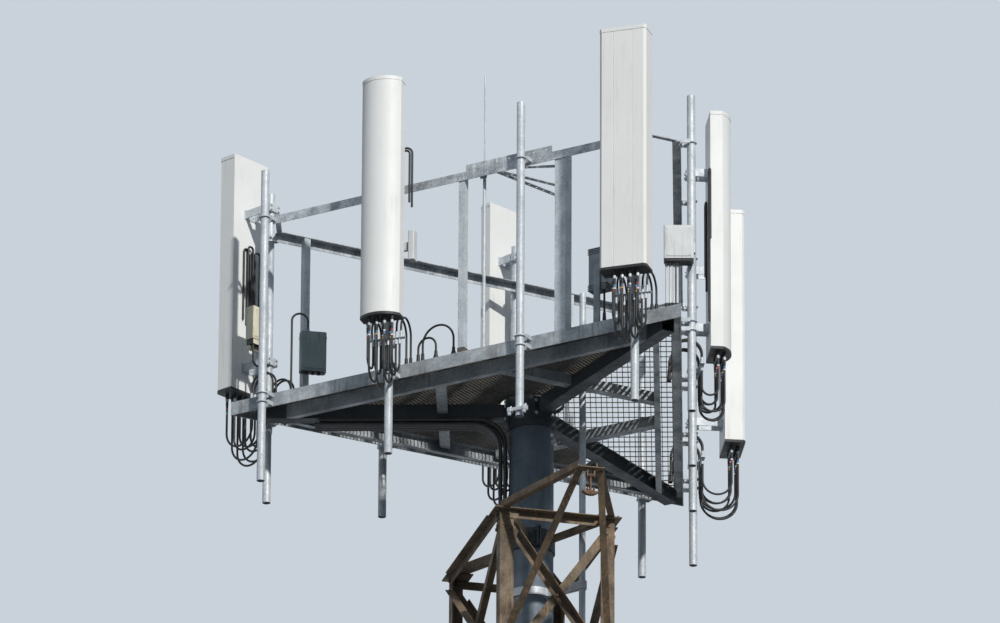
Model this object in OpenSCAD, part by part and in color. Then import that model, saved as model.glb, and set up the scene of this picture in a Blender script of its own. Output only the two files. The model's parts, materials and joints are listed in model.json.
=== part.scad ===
// Cell tower: a steel pole stands inside a rectangular lattice tower and carries
// a triangular antenna platform. X is to the right, Y goes to the far side, Z is up,
// and the origin is on the pole's axis at ground level. All sizes are millimetres.

/* [Lattice] */
// Upright bays at the top of the lattice
cage_bays = 2; // [1:1:3]
// Height of an upright bay
cage_bay_h = 1210; // [1000:10:1400]
// Spreading bays below the upright ones
base_bays = 4; // [3:1:5]
// Height of the highest spreading bay
base_bay_h = 1500; // [1200:10:1700]
// Growth of each spreading bay over the one above it
base_bay_growth = 300; // [100:10:400]
// Width of the upright part
cage_w = 850; // [800:10:1000]
// Depth of the upright part
cage_d = 1520; // [1400:10:1700]
// Width over the feet
foot_w = 2100; // [1700:10:2600]
// Depth over the feet
foot_d = 2750; // [2200:10:3200]
// Turn of the lattice about the pole, in degrees
lattice_turn = 15.5; // [0:0.5:20]
// Flange of the leg angles
leg_w = 102; // [89:1:127]
// Thickness of the leg angles
leg_t = 9.5; // [8:0.5:12]
// Flange of the bracing angles
brace_w = 63.5; // [50:0.5:70]
// Thickness of the bracing angles
brace_t = 6.4; // [5:0.2:8]
// Side of the foot plates
foot_plate = 320; // [280:10:360]
// Thickness of the foot plates
foot_plate_t = 25; // [20:1:32]

/* [Cross arm] */
// Reach of the cross arm in front of the lattice
arm_reach = 930; // [800:10:1100]
// Drop of the knee braces along the legs
knee_drop = 950; // [900:10:990]
// Flange of the cross arm angles
arm_w = 50; // [45:1:56]
// Radius of the pin that the line clamp hangs on
clamp_pin_r = 8; // [6:0.5:10]

/* [Pole] */
// Outer diameter of the pole
pole_d = 323.9; // [300:0.1:340]
// Wall of the pole
pole_wall = 9.5; // [8:0.5:12]
// Diameter of the base flange
pole_flange_d = 560; // [520:5:620]
// Thickness of the base flange
pole_flange_t = 32; // [25:1:40]
// Anchor holes in the base flange
pole_anchor_n = 12; // [8:4:16]
// Diameter of the anchor holes
pole_anchor_d = 30; // [24:1:33]

/* [Platform] */
// Height of the deck's rail top over the lattice top
deck_rise = 1160; // [1000:10:1300]
// Side of the triangular deck
side = 3810; // [3600:10:4000]
// Depth of the deck's rail
rail_h = 102; // [90:1:120]
// Thickness of the deck's rail
rail_t = 8; // [6:1:10]
// Height of the handrail's top over the deck's rail top
hand_h = 1402; // [1200:1:1450]
// Flange of the handrail angle
hand_w = 63.5; // [50:0.5:70]
// Thickness of the handrail angle
hand_t = 6.4; // [5:0.2:8]
// Side of the square arms under the deck
arm_tube = 102; // [90:1:110]
// Wall of the square arms
arm_tube_wall = 6.4; // [5:0.2:8]
// Side of the cross joists
joist = 76; // [60:1:80]
// Distance of the cross joists from the pole's axis
joist_r = 650; // [600:10:800]
// Distance of the stringers from the deck's edge
stringer_in = 160; // [130:5:200]
// Depth of the grating
grating_h = 30; // [25:1:35]
// Pitch of the grating's bearing bars
grating_pitch = 60; // [45:5:80]
// Thickness of the grating's bars
grating_bar = 6; // [5:0.5:7]

/* [Antenna pipes] */
// Outer diameter of the antenna pipes
pipe_d = 60.3; // [55:0.1:66]
// Wall of the antenna pipes
pipe_wall = 3.9; // [3:0.1:5]
// Length of the antenna pipes
pipe_l = 2438; // [2300:1:2600]
// Length of the pipes below the deck's rail top
pipe_below = 700; // [600:10:800]
// Distance of the pipes' axes from the deck's edge
pipe_out = 73; // [65:1:85]

/* [Antennas] */
// Height of the antennas
antenna_h = 1854; // [1700:1:2000]
// Height of the antennas' lower end over the deck's rail top
antenna_z = 240; // [200:10:300]
// Width of the antennas with the curved front
curved_w = 300; // [280:1:320]
// Depth of the antennas with the curved front
curved_d = 165; // [140:1:170]
// Width of the antennas with the flat front
flat_w = 350; // [330:1:365]
// Depth of the antennas with the flat front
flat_d = 152; // [130:1:160]
// Gap from a pipe to the back of the antenna that is closest to it
antenna_gap = 90; // [60:1:110]

/* [Hidden] */

// Heights
base_h = base_bays * base_bay_h + base_bay_growth * base_bays * (base_bays - 1) / 2;
lattice_h = base_h + cage_bays * cage_bay_h;
deck_z = lattice_h + deck_rise;
pole_r = pole_d / 2;
pole_top = deck_z + 40;

// Lattice bracing
gauge = 60;
bar_end = 25;
cope = 110;
seat = 0.15;
node_gap = 75;
foot_gap = 260;
spacer_w = 40;

// Platform
face_in = side / (2 * sqrt(3));
corner_r = side / sqrt(3);
pipe_t = [316, 1405, 2513, 3470];
pipe_lift = [0, 0, 70, 0];
pipe_r = pipe_d / 2;
ledge_w = 60;
grating_clear = 3;
ledge_z = -(grating_h + 7);
under_z = ledge_z - rail_t;
fit = 0.3;

// The direction of v, one long
function unit(v) = v / norm(v);

// Half of a lattice width at height z, from its foot and cage sizes
function half_at(z, foot, cage) =
    z >= base_h ? cage / 2 : foot / 2 + (cage - foot) / 2 * z / base_h;

// Signs of the corner e (0 or 1) of lattice side s: near, right, far, left
function corner_sign(s, e) = [[-1, -1], [1, -1], [1, 1], [-1, 1]][(s + e) % 4];

// Outer corner point of side s, end e, at height z
function corner_at(s, e, z) = [
    corner_sign(s, e)[0] * half_at(z, foot_w, cage_w),
    corner_sign(s, e)[1] * half_at(z, foot_d, cage_d),
    z
];

// Point on the leg's gauge line, inward from the corner along side s
function gauge_at(s, e, z) =
    corner_at(s, e, z) + gauge * unit(corner_at(s, 1 - e, z) - corner_at(s, e, z));

// Outward normal of side s between two heights
function side_normal(s, z0, z1) =
    unit(cross(corner_at(s, 1, z0) - corner_at(s, 0, z0), corner_at(s, 0, z1) - corner_at(s, 0, z0)));

// Level i of the upright bays and level i of the spreading bays, counted down
function cage_level(i) = lattice_h - i * cage_bay_h;
function base_level(i) = base_h - i * base_bay_h - base_bay_growth * i * (i - 1) / 2;

// Moves children to a, with their Z toward b and their Y toward up
module lay(a, b, up) {
    z = unit(b - a);
    x = unit(cross(up, z));
    y = cross(z, x);
    multmatrix([
        [x[0], y[0], z[0], a[0]],
        [x[1], y[1], z[1], a[1]],
        [x[2], y[2], z[2], a[2]],
        [0, 0, 0, 1]
    ])
        children();
}

// A profile extruded from a to b, with its Y toward up
module beam(a, b, up) {
    lay(a, b, up)
        linear_extrude(norm(b - a))
            children();
}

// A ring of wall w
module ring(r, w, h) {
    linear_extrude(h)
        difference() {
            circle(r, $fn = 64);
            circle(r - w, $fn = 64);
        }
}

// An L profile with its corner at the origin
module angle_profile(w, t) {
    polygon([[0, 0], [w, 0], [w, t], [t, t], [t, w], [0, w]]);
}

// A square tube profile, centred
module tube_profile(w, t) {
    difference() {
        square(w, center = true);
        square(w - 2 * t, center = true);
    }
}

// A bracing angle from p to q on side normal n: outside (1) or inside (-1) the leg.
// Its standing flange is cut short at both ends, clear of the legs.
module brace(p, q, n, where) {
    shift = (where > 0 ? seat : -leg_t - seat) * n;
    d = unit(q - p);
    length = norm(q - p) + 2 * bar_end;
    lay(p + shift - bar_end * d, q + shift, where * n)
        difference() {
            linear_extrude(length)
                translate([-brace_w / 2, 0])
                    mirror([1, 0])
                        translate([-brace_w, 0])
                            angle_profile(brace_w, brace_t);
            for (z = [-1, length - cope])
                translate([-brace_w, brace_t, z])
                    cube([2 * brace_w, brace_w, cope + 1]);
        }
}

// Two crossing diagonals of one bay, with the spacer that bolts them together
module cross_brace(s, z_top, z_bottom, n) {
    a = gauge_at(s, 0, z_top);
    b = gauge_at(s, 1, z_top);
    c = gauge_at(s, 0, z_bottom);
    d = gauge_at(s, 1, z_bottom);
    brace(a, d, n, 1);
    brace(b, c, n, -1);
    share = norm(b - a) / (norm(b - a) + norm(d - c));
    middle = a + share * (d - a);
    bite = brace_t / 2;
    beam(middle - (leg_t + seat + bite) * n, middle + (seat + bite) * n, unit(d - a))
        square(spacer_w, center = true);
}

// One side of the upright part, its end bars moved inward by end_shift
end_shift = brace_w / 2 + 4;
module cage_side(s) {
    n = side_normal(s, base_h, lattice_h);
    color("#6b5a48")
        rotate([0, 0, lattice_turn])
            union() {
                for (i = [0 : cage_bays - 1])
                    cross_brace(
                        s, cage_level(i) - node_gap - (i == 0 ? end_shift : 0),
                        cage_level(i + 1) + node_gap + (i == cage_bays - 1 ? end_shift : 0), n
                    );
                for (i = [1 : cage_bays]) {
                    z = cage_level(i) + (i == cage_bays ? end_shift : 0);
                    brace(gauge_at(s, 0, z), gauge_at(s, 1, z), n, 1);
                }
                brace(
                    gauge_at(s, 0, lattice_h - brace_w / 2),
                    gauge_at(s, 1, lattice_h - brace_w / 2), n, 1
                );
            }
}

// One side of the spreading part
module base_side(s) {
    n = side_normal(s, 0, base_h);
    color("#6b5a48")
        rotate([0, 0, lattice_turn])
            union() {
                for (i = [0 : base_bays - 1])
                    cross_brace(
                        s, base_level(i) - node_gap,
                        base_level(i + 1) + (i == base_bays - 1 ? foot_gap : node_gap), n
                    );
                for (i = [1 : base_bays - 1])
                    brace(gauge_at(s, 0, base_level(i)), gauge_at(s, 1, base_level(i)), n, 1);
            }
}

// Outline of a leg across its length: two flanges at the angle a between their faces
module leg_profile(a) {
    f = [cos(a), sin(a)];
    m = [sin(a), -cos(a)];
    s = leg_t * (1 + cos(a)) / sin(a);
    inner = s * f + leg_t * m;
    polygon([[0, 0], [leg_w, 0], [leg_w, leg_t], inner, leg_w * f + leg_t * m, leg_w * f]);
}

// A stretch of the leg at the start corner of side s, through heights z0 and z1
module leg_stretch(s, z0, z1) {
    before = (s + 3) % 4;
    a = corner_at(s, 0, z0);
    b = corner_at(s, 0, z1);
    n = side_normal(s, z0, z1);
    m = side_normal(before, z0, z1);
    beam(a, b, -n)
        leg_profile(acos(-n * m));
}

// A leg at the start corner of side s, on its foot plate
splice_gap = 0.4;
module leg(s) {
    color("#6b5a48")
        rotate([0, 0, lattice_turn]) {
            leg_stretch(s, base_h, lattice_h);
            union() {
                difference() {
                    leg_stretch(s, -leg_w, base_h);
                    translate([-foot_w, -foot_d, base_h - splice_gap])
                        cube([2 * foot_w, 2 * foot_d, leg_w]);
                    translate([-foot_w, -foot_d, -2 * leg_w])
                        cube([2 * foot_w, 2 * foot_d, 2 * leg_w + foot_plate_t / 2]);
                }
                foot(corner_sign(s, 0));
            }
        }
}

// A foot plate with four anchor holes, centred under its leg
module foot(sign) {
    translate([sign[0] * (foot_w / 2 - leg_w / 2), sign[1] * (foot_d / 2 - leg_w / 2), 0])
        difference() {
            translate([-foot_plate / 2, -foot_plate / 2, 0])
                cube([foot_plate, foot_plate, foot_plate_t]);
            for (x = [-1, 1], y = [-1, 1])
                translate([x * foot_plate * 0.36, y * foot_plate * 0.36, -1])
                    cylinder(h = foot_plate_t + 2, r = 14, $fn = 32);
        }
}

// The pole itself, with a cap plate on its top
module pole_shaft() {
    color("#8894a0") {
        ring(pole_r, pole_wall, pole_top);
        translate([0, 0, pole_top])
            cylinder(h = 10, r = pole_r, $fn = 64);
    }
}

// The welded ring on the ground that anchors the pole
module pole_base_flange() {
    color("#8894a0")
        difference() {
            cylinder(h = pole_flange_t, r = pole_flange_d / 2, $fn = 96);
            translate([0, 0, -1])
                cylinder(h = pole_flange_t + 2, r = pole_r, $fn = 64);
            for (i = [0 : pole_anchor_n - 1])
                rotate([0, 0, i * 360 / pole_anchor_n])
                    translate([(pole_flange_d / 2 + pole_r) / 2, 0, -1])
                        cylinder(h = pole_flange_t + 2, r = pole_anchor_d / 2, $fn = 32);
        }
}

// Plates on the leg tops and the braces that run from them to the pole's collar
collar_h = 150;
collar_t = 12;
top_plate_t = 8;
module top_frame() {
    color("#6b5a48")
        rotate([0, 0, lattice_turn])
            union()
                for (s = [0 : 3]) {
                    c = corner_at(s, 0, lattice_h);
                    toward = -unit([c[0], c[1], 0]);
                    start = c + [0, 0, top_plate_t] + 90 * toward;
                    stop = [0, 0, lattice_h + top_plate_t] - (pole_r + fit + collar_t) * toward;
                    translate([
                        c[0] - corner_sign(s, 0)[0] * leg_w / 2,
                        c[1] - corner_sign(s, 0)[1] * leg_w / 2,
                        lattice_h + top_plate_t / 2
                    ])
                        cube([leg_w + 90, leg_w + 90, top_plate_t], center = true);
                    beam(start, stop, [0, 0, 1])
                        translate([-brace_w / 2, 0])
                            angle_profile(brace_w, brace_t);
                }
}

// The two-part collar at the lattice top, with its bolted ears on the near and far sides
module pole_collar() {
    color("#4a4f55")
        translate([0, 0, lattice_h + top_plate_t - 45])
            rotate([0, 0, lattice_turn + 90])
                clamp_ring(pole_r, collar_t, collar_h, 60);
}

// A ring in two halves with ears on both sides, cut apart along X
module clamp_ring(r, t, h, ear) {
    difference() {
        union() {
            ring(r + fit + t, t, h);
            for (x = [-1, 1])
                translate([x * (r + fit + t / 2 + ear / 2), 0, h / 2])
                    cube([ear + t, 2 * t + 8, h], center = true);
        }
        translate([-r - ear - 3 * t, -4, -1])
            cube([2 * (r + ear + 3 * t), 8, h + 2]);
        cylinder(h = 3 * h, r = r + fit, center = true, $fn = 64);
        for (x = [-1, 1], z = [h * 0.25, h * 0.75])
            translate([x * (r + t + ear * 0.6), 0, z])
                rotate([90, 0, 0])
                    cylinder(h = 6 * t, r = 9, center = true, $fn = 24);
    }
}

// The arm toward the viewer: two level chords, two knee braces and the tip bracket
tip_w = 190;
ear_in = 20;
ear_t = 10;
module cross_arm() {
    tip_y = -cage_d / 2 - arm_reach;
    z = lattice_h + top_plate_t;
    color("#6b5a48")
        rotate([0, 0, lattice_turn])
            union() {
                for (x = [-1, 1]) {
                    chord_start = [x * (cage_w / 2 - 20), -cage_d / 2 + 5, z];
                    chord_end = [x * (tip_w / 2 - arm_w / 2), tip_y, z];
                    beam(chord_start, chord_end, [0, 0, 1])
                        translate([-arm_w / 2, 0])
                            angle_profile(arm_w, brace_t);
                    knee(x, tip_y, z);
                    translate([x > 0 ? ear_in : -ear_in - ear_t, tip_y - 30, z - 75])
                        ear_plate();
                }
                translate([-tip_w / 2, tip_y - 45, z - brace_t])
                    cube([tip_w, 90, brace_t]);
                translate([-ear_in - ear_t - 6, tip_y, z - 55])
                    rotate([0, 90, 0])
                        cylinder(h = 2 * (ear_in + ear_t + 6), r = clamp_pin_r, $fn = 32);
            }
}

// A lug of the tip bracket, round at its lower end
module ear_plate() {
    translate([0, 30, 20])
        rotate([0, 90, 0])
            cylinder(h = ear_t, r = 22, $fn = 48);
    translate([0, 8, 20])
        cube([ear_t, 44, 55 - brace_t + 0.1]);
}

// A knee brace from the tip to the front of a leg
module knee(x, tip_y, z) {
    top = [x * (tip_w / 2 - arm_w / 2 + 8), tip_y + 20, z - brace_t - 5];
    bottom = [x * (cage_w / 2 - 50), -cage_d / 2, lattice_h - knee_drop];
    far = bottom + 60 * unit(bottom - top);
    difference() {
        beam(top, far, [0, -1, 0])
            translate([-arm_w / 2, 0])
                square([arm_w, brace_t]);
        translate([-cage_w, -cage_d / 2, lattice_h - 2 * knee_drop])
            cube([2 * cage_w, 200, 2 * knee_drop]);
    }
}

// The rusty suspension clamp that hangs on the cross arm's pin
clamp_drop = 120;
module line_clamp() {
    tip_y = -cage_d / 2 - arm_reach;
    color("#a5673a")
        rotate([0, 0, lattice_turn])
            translate([0, tip_y, lattice_h + top_plate_t - 55])
                union() {
                    difference() {
                        union() {
                            rotate([0, 90, 0])
                                cylinder(h = 2 * (ear_in - fit), r = 16, center = true, $fn = 48);
                            translate([-7, -14, -clamp_drop + 20])
                                cube([14, 28, clamp_drop - 20]);
                        }
                        rotate([0, 90, 0])
                            cylinder(h = 100, r = clamp_pin_r + 0.05, center = true, $fn = 48);
                    }
                    translate([0, 0, -clamp_drop])
                        clamp_boat();
                }
}

// The clamp's boat-shaped body with its groove, keeper and bolts
module clamp_boat() {
    difference() {
        translate([0, 18, 60])
            rotate([90, 0, 0])
                cylinder(h = 36, r = 88, $fn = 64);
        translate([-100, -30, 0])
            cube([200, 60, 160]);
        translate([0, 0, 2])
            rotate([0, 90, 0])
                cylinder(h = 160, r = 8, center = true, $fn = 32);
    }
    translate([-32, -14, 0])
        cube([64, 28, 10]);
    for (x = [-24, 24], y = [-12, 12])
        translate([x, y, -26])
            cylinder(h = 56, r = 4, $fn = 16);
    translate([-7, -14, 8])
        cube([14, 28, 30]);
}

// Places children in the frame of deck face k: X along the face, Y inward
module on_face(k) {
    rotate([0, 0, -30 + 120 * k])
        children();
}

// Moves to distance t along a face, o outside it, z over the deck's rail top
module at(t, o, z) {
    translate([t - side / 2, -face_in - o, deck_z + z])
        children();
}

// The deck's outline, moved in by d
module deck_outline(d) {
    r = corner_r - 2 * d;
    polygon([for (k = [0 : 2]) [r * cos(180 + 120 * k), r * sin(180 + 120 * k)]]);
}

// The collar and the three sockets that carry the arms
mount_h = 300;
mount_t = 14;
arm_z = under_z - arm_tube / 2;
arm_start = pole_r + fit + mount_t + 12;
module ring_mount() {
    color("#565c62")
        translate([0, 0, deck_z + arm_z - mount_h / 2])
            union() {
                ring(pole_r + fit + mount_t, mount_t, mount_h);
                for (k = [0 : 2])
                    rotate([0, 0, 60 + 120 * k]) {
                        translate([arm_start - 12, -80, mount_h / 2 - 90])
                            cube([12, 160, 180]);
                        difference() {
                            translate([pole_r, -80, mount_h / 2 - 90])
                                cube([arm_start - pole_r, 160, 180]);
                            translate([0, 0, -1])
                                cylinder(h = mount_h + 2, r = pole_r + fit + 1, $fn = 64);
                            translate([pole_r - 5, -68, mount_h / 2 - 100])
                                cube([arm_start - pole_r - 7, 136, 200]);
                        }
                    }
            }
}

// The three square tubes from the collar to the deck's corners
arm_short = 190;
module deck_arms() {
    color("#565c62")
        for (k = [0 : 2])
            rotate([0, 0, 60 + 120 * k])
                translate([arm_start, 0, deck_z + arm_z])
                    rotate([90, 0, 90])
                        linear_extrude(corner_r - arm_short - arm_start)
                            tube_profile(arm_tube, arm_tube_wall);
}

// The deck's outer rail with the ledge that the grating lies on
module deck_frame() {
    color("#b4b9bd")
        translate([0, 0, deck_z]) {
            translate([0, 0, -rail_h])
                linear_extrude(rail_h)
                    difference() {
                        deck_outline(0);
                        deck_outline(rail_t);
                    }
            translate([0, 0, under_z])
                linear_extrude(rail_t)
                    difference() {
                        deck_outline(rail_t / 2);
                        deck_outline(rail_t + ledge_w);
                    }
        }
}

// Channels along each face and the cross joists between them
stringer_w = 44;
stringer_web = 5;
stringer_flange = 7;
joist_wall = 5;
weld_gap = 0.3;
module deck_joists() {
    color("#9aa0a5")
        for (k = [0 : 2]) {
            on_face(k)
                translate([0, 0, deck_z + under_z - rail_h])
                    stringer();
            for (y = [0, 1])
                rotate([0, 0, 60 + 120 * k])
                    mirror([0, y, 0])
                        translate([0, 0, deck_z + ledge_z - joist])
                            joist_half();
        }
}

// Plan of a strip along a face between insets a and b, cut off at the sides of the arms
module face_strip(a, b) {
    half_a = (face_in - a) * sqrt(3) - arm_tube - 2 * weld_gap;
    half_b = (face_in - b) * sqrt(3) - arm_tube - 2 * weld_gap;
    polygon([[-half_a, a - face_in], [half_a, a - face_in], [half_b, b - face_in], [-half_b, b - face_in]]);
}

// A channel with its web outward, from arm to arm
module stringer() {
    difference() {
        linear_extrude(rail_h)
            face_strip(stringer_in, stringer_in + stringer_w);
        translate([-side / 2, stringer_in + stringer_web - face_in, stringer_flange])
            cube([side, stringer_w, rail_h - 2 * stringer_flange]);
    }
}

// Plan of a cross joist from the arm's side to the stringer
function joist_end(x) = (corner_r - 2 * (stringer_in + stringer_w + weld_gap) - x) * tan(30);
module joist_plan(x0, x1) {
    polygon([[x0, arm_tube / 2 + weld_gap], [x1, arm_tube / 2 + weld_gap], [x1, joist_end(x1)], [x0, joist_end(x0)]]);
}

// One half of a square tube across an arm
module joist_half() {
    inner = joist_r - joist / 2;
    difference() {
        linear_extrude(joist)
            joist_plan(inner, inner + joist);
        translate([inner + joist_wall, 0, joist_wall])
            cube([joist - 2 * joist_wall, side, joist - 2 * joist_wall]);
    }
}

// Outline of a face's grating: a triangle from the face to the pole's axis, moved in by d
module sector(d) {
    base = -face_in + rail_t + grating_clear + d;
    apex = -2 * (grating_clear + d);
    half = (apex - base) * sqrt(3);
    polygon([[-half, base], [half, base], [0, apex]]);
}

// Upright tubes between the deck and the handrail: face, place along it, side of the tube
post_w = 50;
wide_post_w = 89;
posts = [[0, 1963, post_w], [0, 2796, wide_post_w], [1, 1905, post_w], [2, 1000, post_w], [2, 3228, post_w]];

// Distance of a post's middle from the deck's edge
function post_inset(w) = rail_t + seat + w / 2;

// One panel of bar grating, cut out round the pole, the posts and the riser
module deck_grating(k) {
    hole_r = pole_r + 70;
    color("#8f8a7d")
        on_face(k)
            translate([0, 0, deck_z + ledge_z + seat])
                linear_extrude(grating_h)
                    difference() {
                        intersection() {
                            sector(0);
                            union() {
                                difference() {
                                    sector(0);
                                    sector(grating_bar);
                                }
                                grating_bars();
                                circle(hole_r + grating_bar, $fn = 48);
                            }
                        }
                        circle(hole_r, $fn = 48);
                        for (p = posts)
                            if (p[0] == k)
                                translate([p[1] - side / 2, post_inset(p[2]) - face_in])
                                    square(p[2] + 2 * grating_clear, center = true);
                        rotate([0, 0, 30 - 120 * k])
                            translate([riser_x, riser_y])
                                circle(riser_r + riser_clear, $fn = 32);
                    }
}

// Bearing bars across the panel and rods along it
module grating_bars() {
    count = floor(side / 2 / grating_pitch);
    for (i = [-count : count])
        translate([i * grating_pitch - grating_bar / 2, -face_in])
            square([grating_bar, face_in]);
    for (i = [1 : 4])
        translate([-side / 2, -face_in + i * face_in / 5])
            square([side, grating_bar]);
}

// The angle rails over the deck's edge, tied together at the corners
hand_end = 340;
module handrail() {
    color("#b4b9bd")
        union()
            for (k = [0 : 2])
                on_face(k) {
                    at(hand_end, 0, hand_h)
                        rotate([90, 0, 90])
                            linear_extrude(side - 2 * hand_end)
                                mirror([0, 1])
                                    angle_profile(hand_w, hand_t);
                    at(side - hand_end - 20, -hand_w / 2, hand_h)
                        corner_tie();
                }
}

// A flat bar across a corner, lying on both rail ends
module corner_tie() {
    reach = hand_end + 20 - hand_w / 2 * sqrt(3);
    rotate([0, 0, 60])
        translate([-30, -20, 0])
            cube([reach + 60, 40, hand_t]);
}

// The posts, standing on the deck's ledge
module handrail_posts() {
    color("#a9b0b6")
        for (p = posts)
            on_face(p[0])
                at(p[1], -post_inset(p[2]), ledge_z + seat)
                    linear_extrude(hand_h - hand_t - ledge_z - 2 * seat)
                        tube_profile(p[2], 4);
}

// The four pipes of a face
module antenna_pipes(k) {
    color("#aeb6bd")
        on_face(k)
            for (i = [0 : 3])
                at(pipe_t[i], pipe_out, pipe_lift[i] - pipe_below)
                    ring(pipe_r, pipe_wall, pipe_l);
}

// Clamps of one face: two at the deck's rail and one at the handrail on each pipe
clamp_zs = [-rail_h + 16, -16, hand_h - hand_w / 2];
module pipe_clamps(k) {
    color("#8b9197")
        on_face(k)
            for (i = [0 : 3], z = clamp_zs)
                at(pipe_t[i], pipe_out, z)
                    pipe_clamp();
}

// A standoff saddle and the U-bolt that pulls the pipe into it
ubolt_r = 6;
saddle_w = 100;
saddle_h = 30;
saddle_y = 9;
module pipe_clamp() {
    difference() {
        translate([-saddle_w / 2, saddle_y, -saddle_h / 2])
            cube([saddle_w, pipe_out - saddle_y, saddle_h]);
        translate([-saddle_w / 2 + 8, pipe_r * 0.5, -saddle_h])
            cube([saddle_w - 16, pipe_out - pipe_r * 0.5 - 8, 2 * saddle_h]);
        cylinder(h = 2 * saddle_h, r = pipe_r + fit, center = true, $fn = 48);
    }
    rotate([0, 0, 180])
        rotate_extrude(angle = 180, $fn = 48)
            translate([pipe_r + fit + ubolt_r, 0])
                circle(ubolt_r, $fn = 16);
    for (x = [-1, 1])
        translate([x * (pipe_r + fit + ubolt_r), 0, 0])
            rotate([-90, 0, 0])
                cylinder(h = pipe_out, r = ubolt_r, $fn = 16);
}

// Antennas: face, pipe, curved or flat, turn on the pipe, added gap, added height
antennas = [
    [0, 1, true, 12.5, 0, 55],
    [0, 3, false, 12.5, 15, -15],
    [1, 1, true, 7, 0, -60],
    [1, 3, false, 7, 100, 10],
    [2, 1, true, 17, 0, 0],
    [2, 3, false, 19, 90, -18]
];

// Front outline of the curved antenna, its back on Y = 0 and its front toward -Y
module curved_profile(grow) {
    bulge = curved_d * 0.45;
    flank = curved_d - bulge;
    r = (pow(curved_w / 2, 2) + pow(bulge, 2)) / (2 * bulge);
    intersection() {
        translate([0, -curved_d + r - grow])
            circle(r, $fn = 96);
        translate([-curved_w / 2 - grow, -curved_d - grow])
            square([curved_w + 2 * grow, curved_d + grow]);
    }
}

// Front outline of the flat antenna with chamfered edges and two grooves
module flat_profile(grow) {
    c = 18;
    w = flat_w / 2 + grow;
    difference() {
        polygon([
            [-w, 0], [w, 0], [w, -flat_d + c], [w - c, -flat_d - grow],
            [-w + c, -flat_d - grow], [-w, -flat_d + c]
        ]);
        if (grow == 0)
            for (x = [-1, 1])
                translate([x * flat_w * 0.2 - 3, -flat_d - 1])
                    square([6, 5]);
    }
}

// Sockets under an antenna, in two staggered rows: place, and drop of the cable below them
socket_r = 13;
socket_h = 35;
socket_pitch = 58;
socket_row = 50;
cable_drops = [250, 340, 300, 390, 280, 360, 320, 270];
sockets = [
    for (i = [0 : 3], row = [0, 1])
        [(i - 1.75 + row / 2) * socket_pitch, -58 - row * socket_row, cable_drops[2 * i + row]]
];

// The radome with its top cap
cap_h = 28;
cap_grow = 2.5;
module antenna_body(curved, h) {
    color("#dcdad2") {
        translate([0, 0, seat])
            linear_extrude(h - cap_h)
                if (curved) curved_profile(0); else flat_profile(0);
        translate([0, 0, h - cap_h])
            linear_extrude(cap_h)
                if (curved) curved_profile(cap_grow); else flat_profile(cap_grow);
    }
}

// The black base that closes a radome, with the sockets under it
base_cap_h = 20;
module antenna_base(curved) {
    linear_extrude(base_cap_h)
        if (curved) curved_profile(cap_grow); else flat_profile(cap_grow);
    for (s = sockets)
        translate([s[0], s[1], -socket_h])
            cylinder(h = socket_h + 1, r = socket_r, $fn = 24);
}

// Moves to the lower end of an antenna on its pipe, turned toward its own bearing
module at_antenna(a) {
    on_face(a[0])
        at(pipe_t[a[1]], pipe_out, antenna_z + a[5])
            rotate([0, 0, a[3]])
                children();
}

// One antenna, off its pipe
module antenna(a) {
    at_antenna(a)
        translate([0, -pipe_r - antenna_gap - a[4], 0])
            antenna_body(a[2], antenna_h);
}

// The bases of all the antennas
module antenna_bases() {
    color("#26282a")
        for (a = antennas)
            at_antenna(a)
                translate([0, -pipe_r - antenna_gap - a[4], -base_cap_h])
                    antenna_base(a[2]);
}

// The brackets of one face: two behind each antenna
bracket_zs = [180, 1400];
module antenna_brackets(k) {
    color("#8b9197")
        for (a = antennas, z = bracket_zs)
            if (a[0] == k)
                at_antenna(a)
                    translate([0, 0, z])
                        antenna_bracket(antenna_gap + a[4]);
}

// A two-part clamp on the pipe with a pair of arms to the antenna's back
bracket_h = 60;
module antenna_bracket(gap) {
    difference() {
        translate([-55, -pipe_r - 12, -bracket_h / 2])
            cube([110, 2 * pipe_r + 24, bracket_h]);
        cylinder(h = 2 * bracket_h, r = pipe_r + fit, center = true, $fn = 48);
        translate([-60, -4, -bracket_h])
            cube([120, 8, 2 * bracket_h]);
    }
    for (x = [-1, 1])
        translate([x * 48 - 4, -pipe_r - gap, -bracket_h / 2])
            cube([8, gap - 11, bracket_h]);
}

// A thin lightning rod that stands on the grating, against the near handrail
rod_r = 12;
rod_t = 2116;
rod_h = 2160;
rod_low = hand_h + 30;
module whip_rod() {
    color("#8a9096")
        on_face(0)
            at(rod_t, -hand_w - fit - rod_r, ledge_z + grating_h + 2 * seat) {
                cylinder(h = rod_low, r = rod_r, $fn = 24);
                cylinder(h = rod_h, r = rod_r * 0.5, $fn = 24);
            }
}

// The pipe that rises beside the pole from the ground to above the deck
riser_r = 24;
riser_clear = 10;
riser_x = 375;
riser_y = -260;
riser_over = 740;
module riser_pipe() {
    color("#aeb6bd")
        translate([riser_x, riser_y, 0])
            ring(riser_r, 4, deck_z + riser_over);
}

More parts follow.
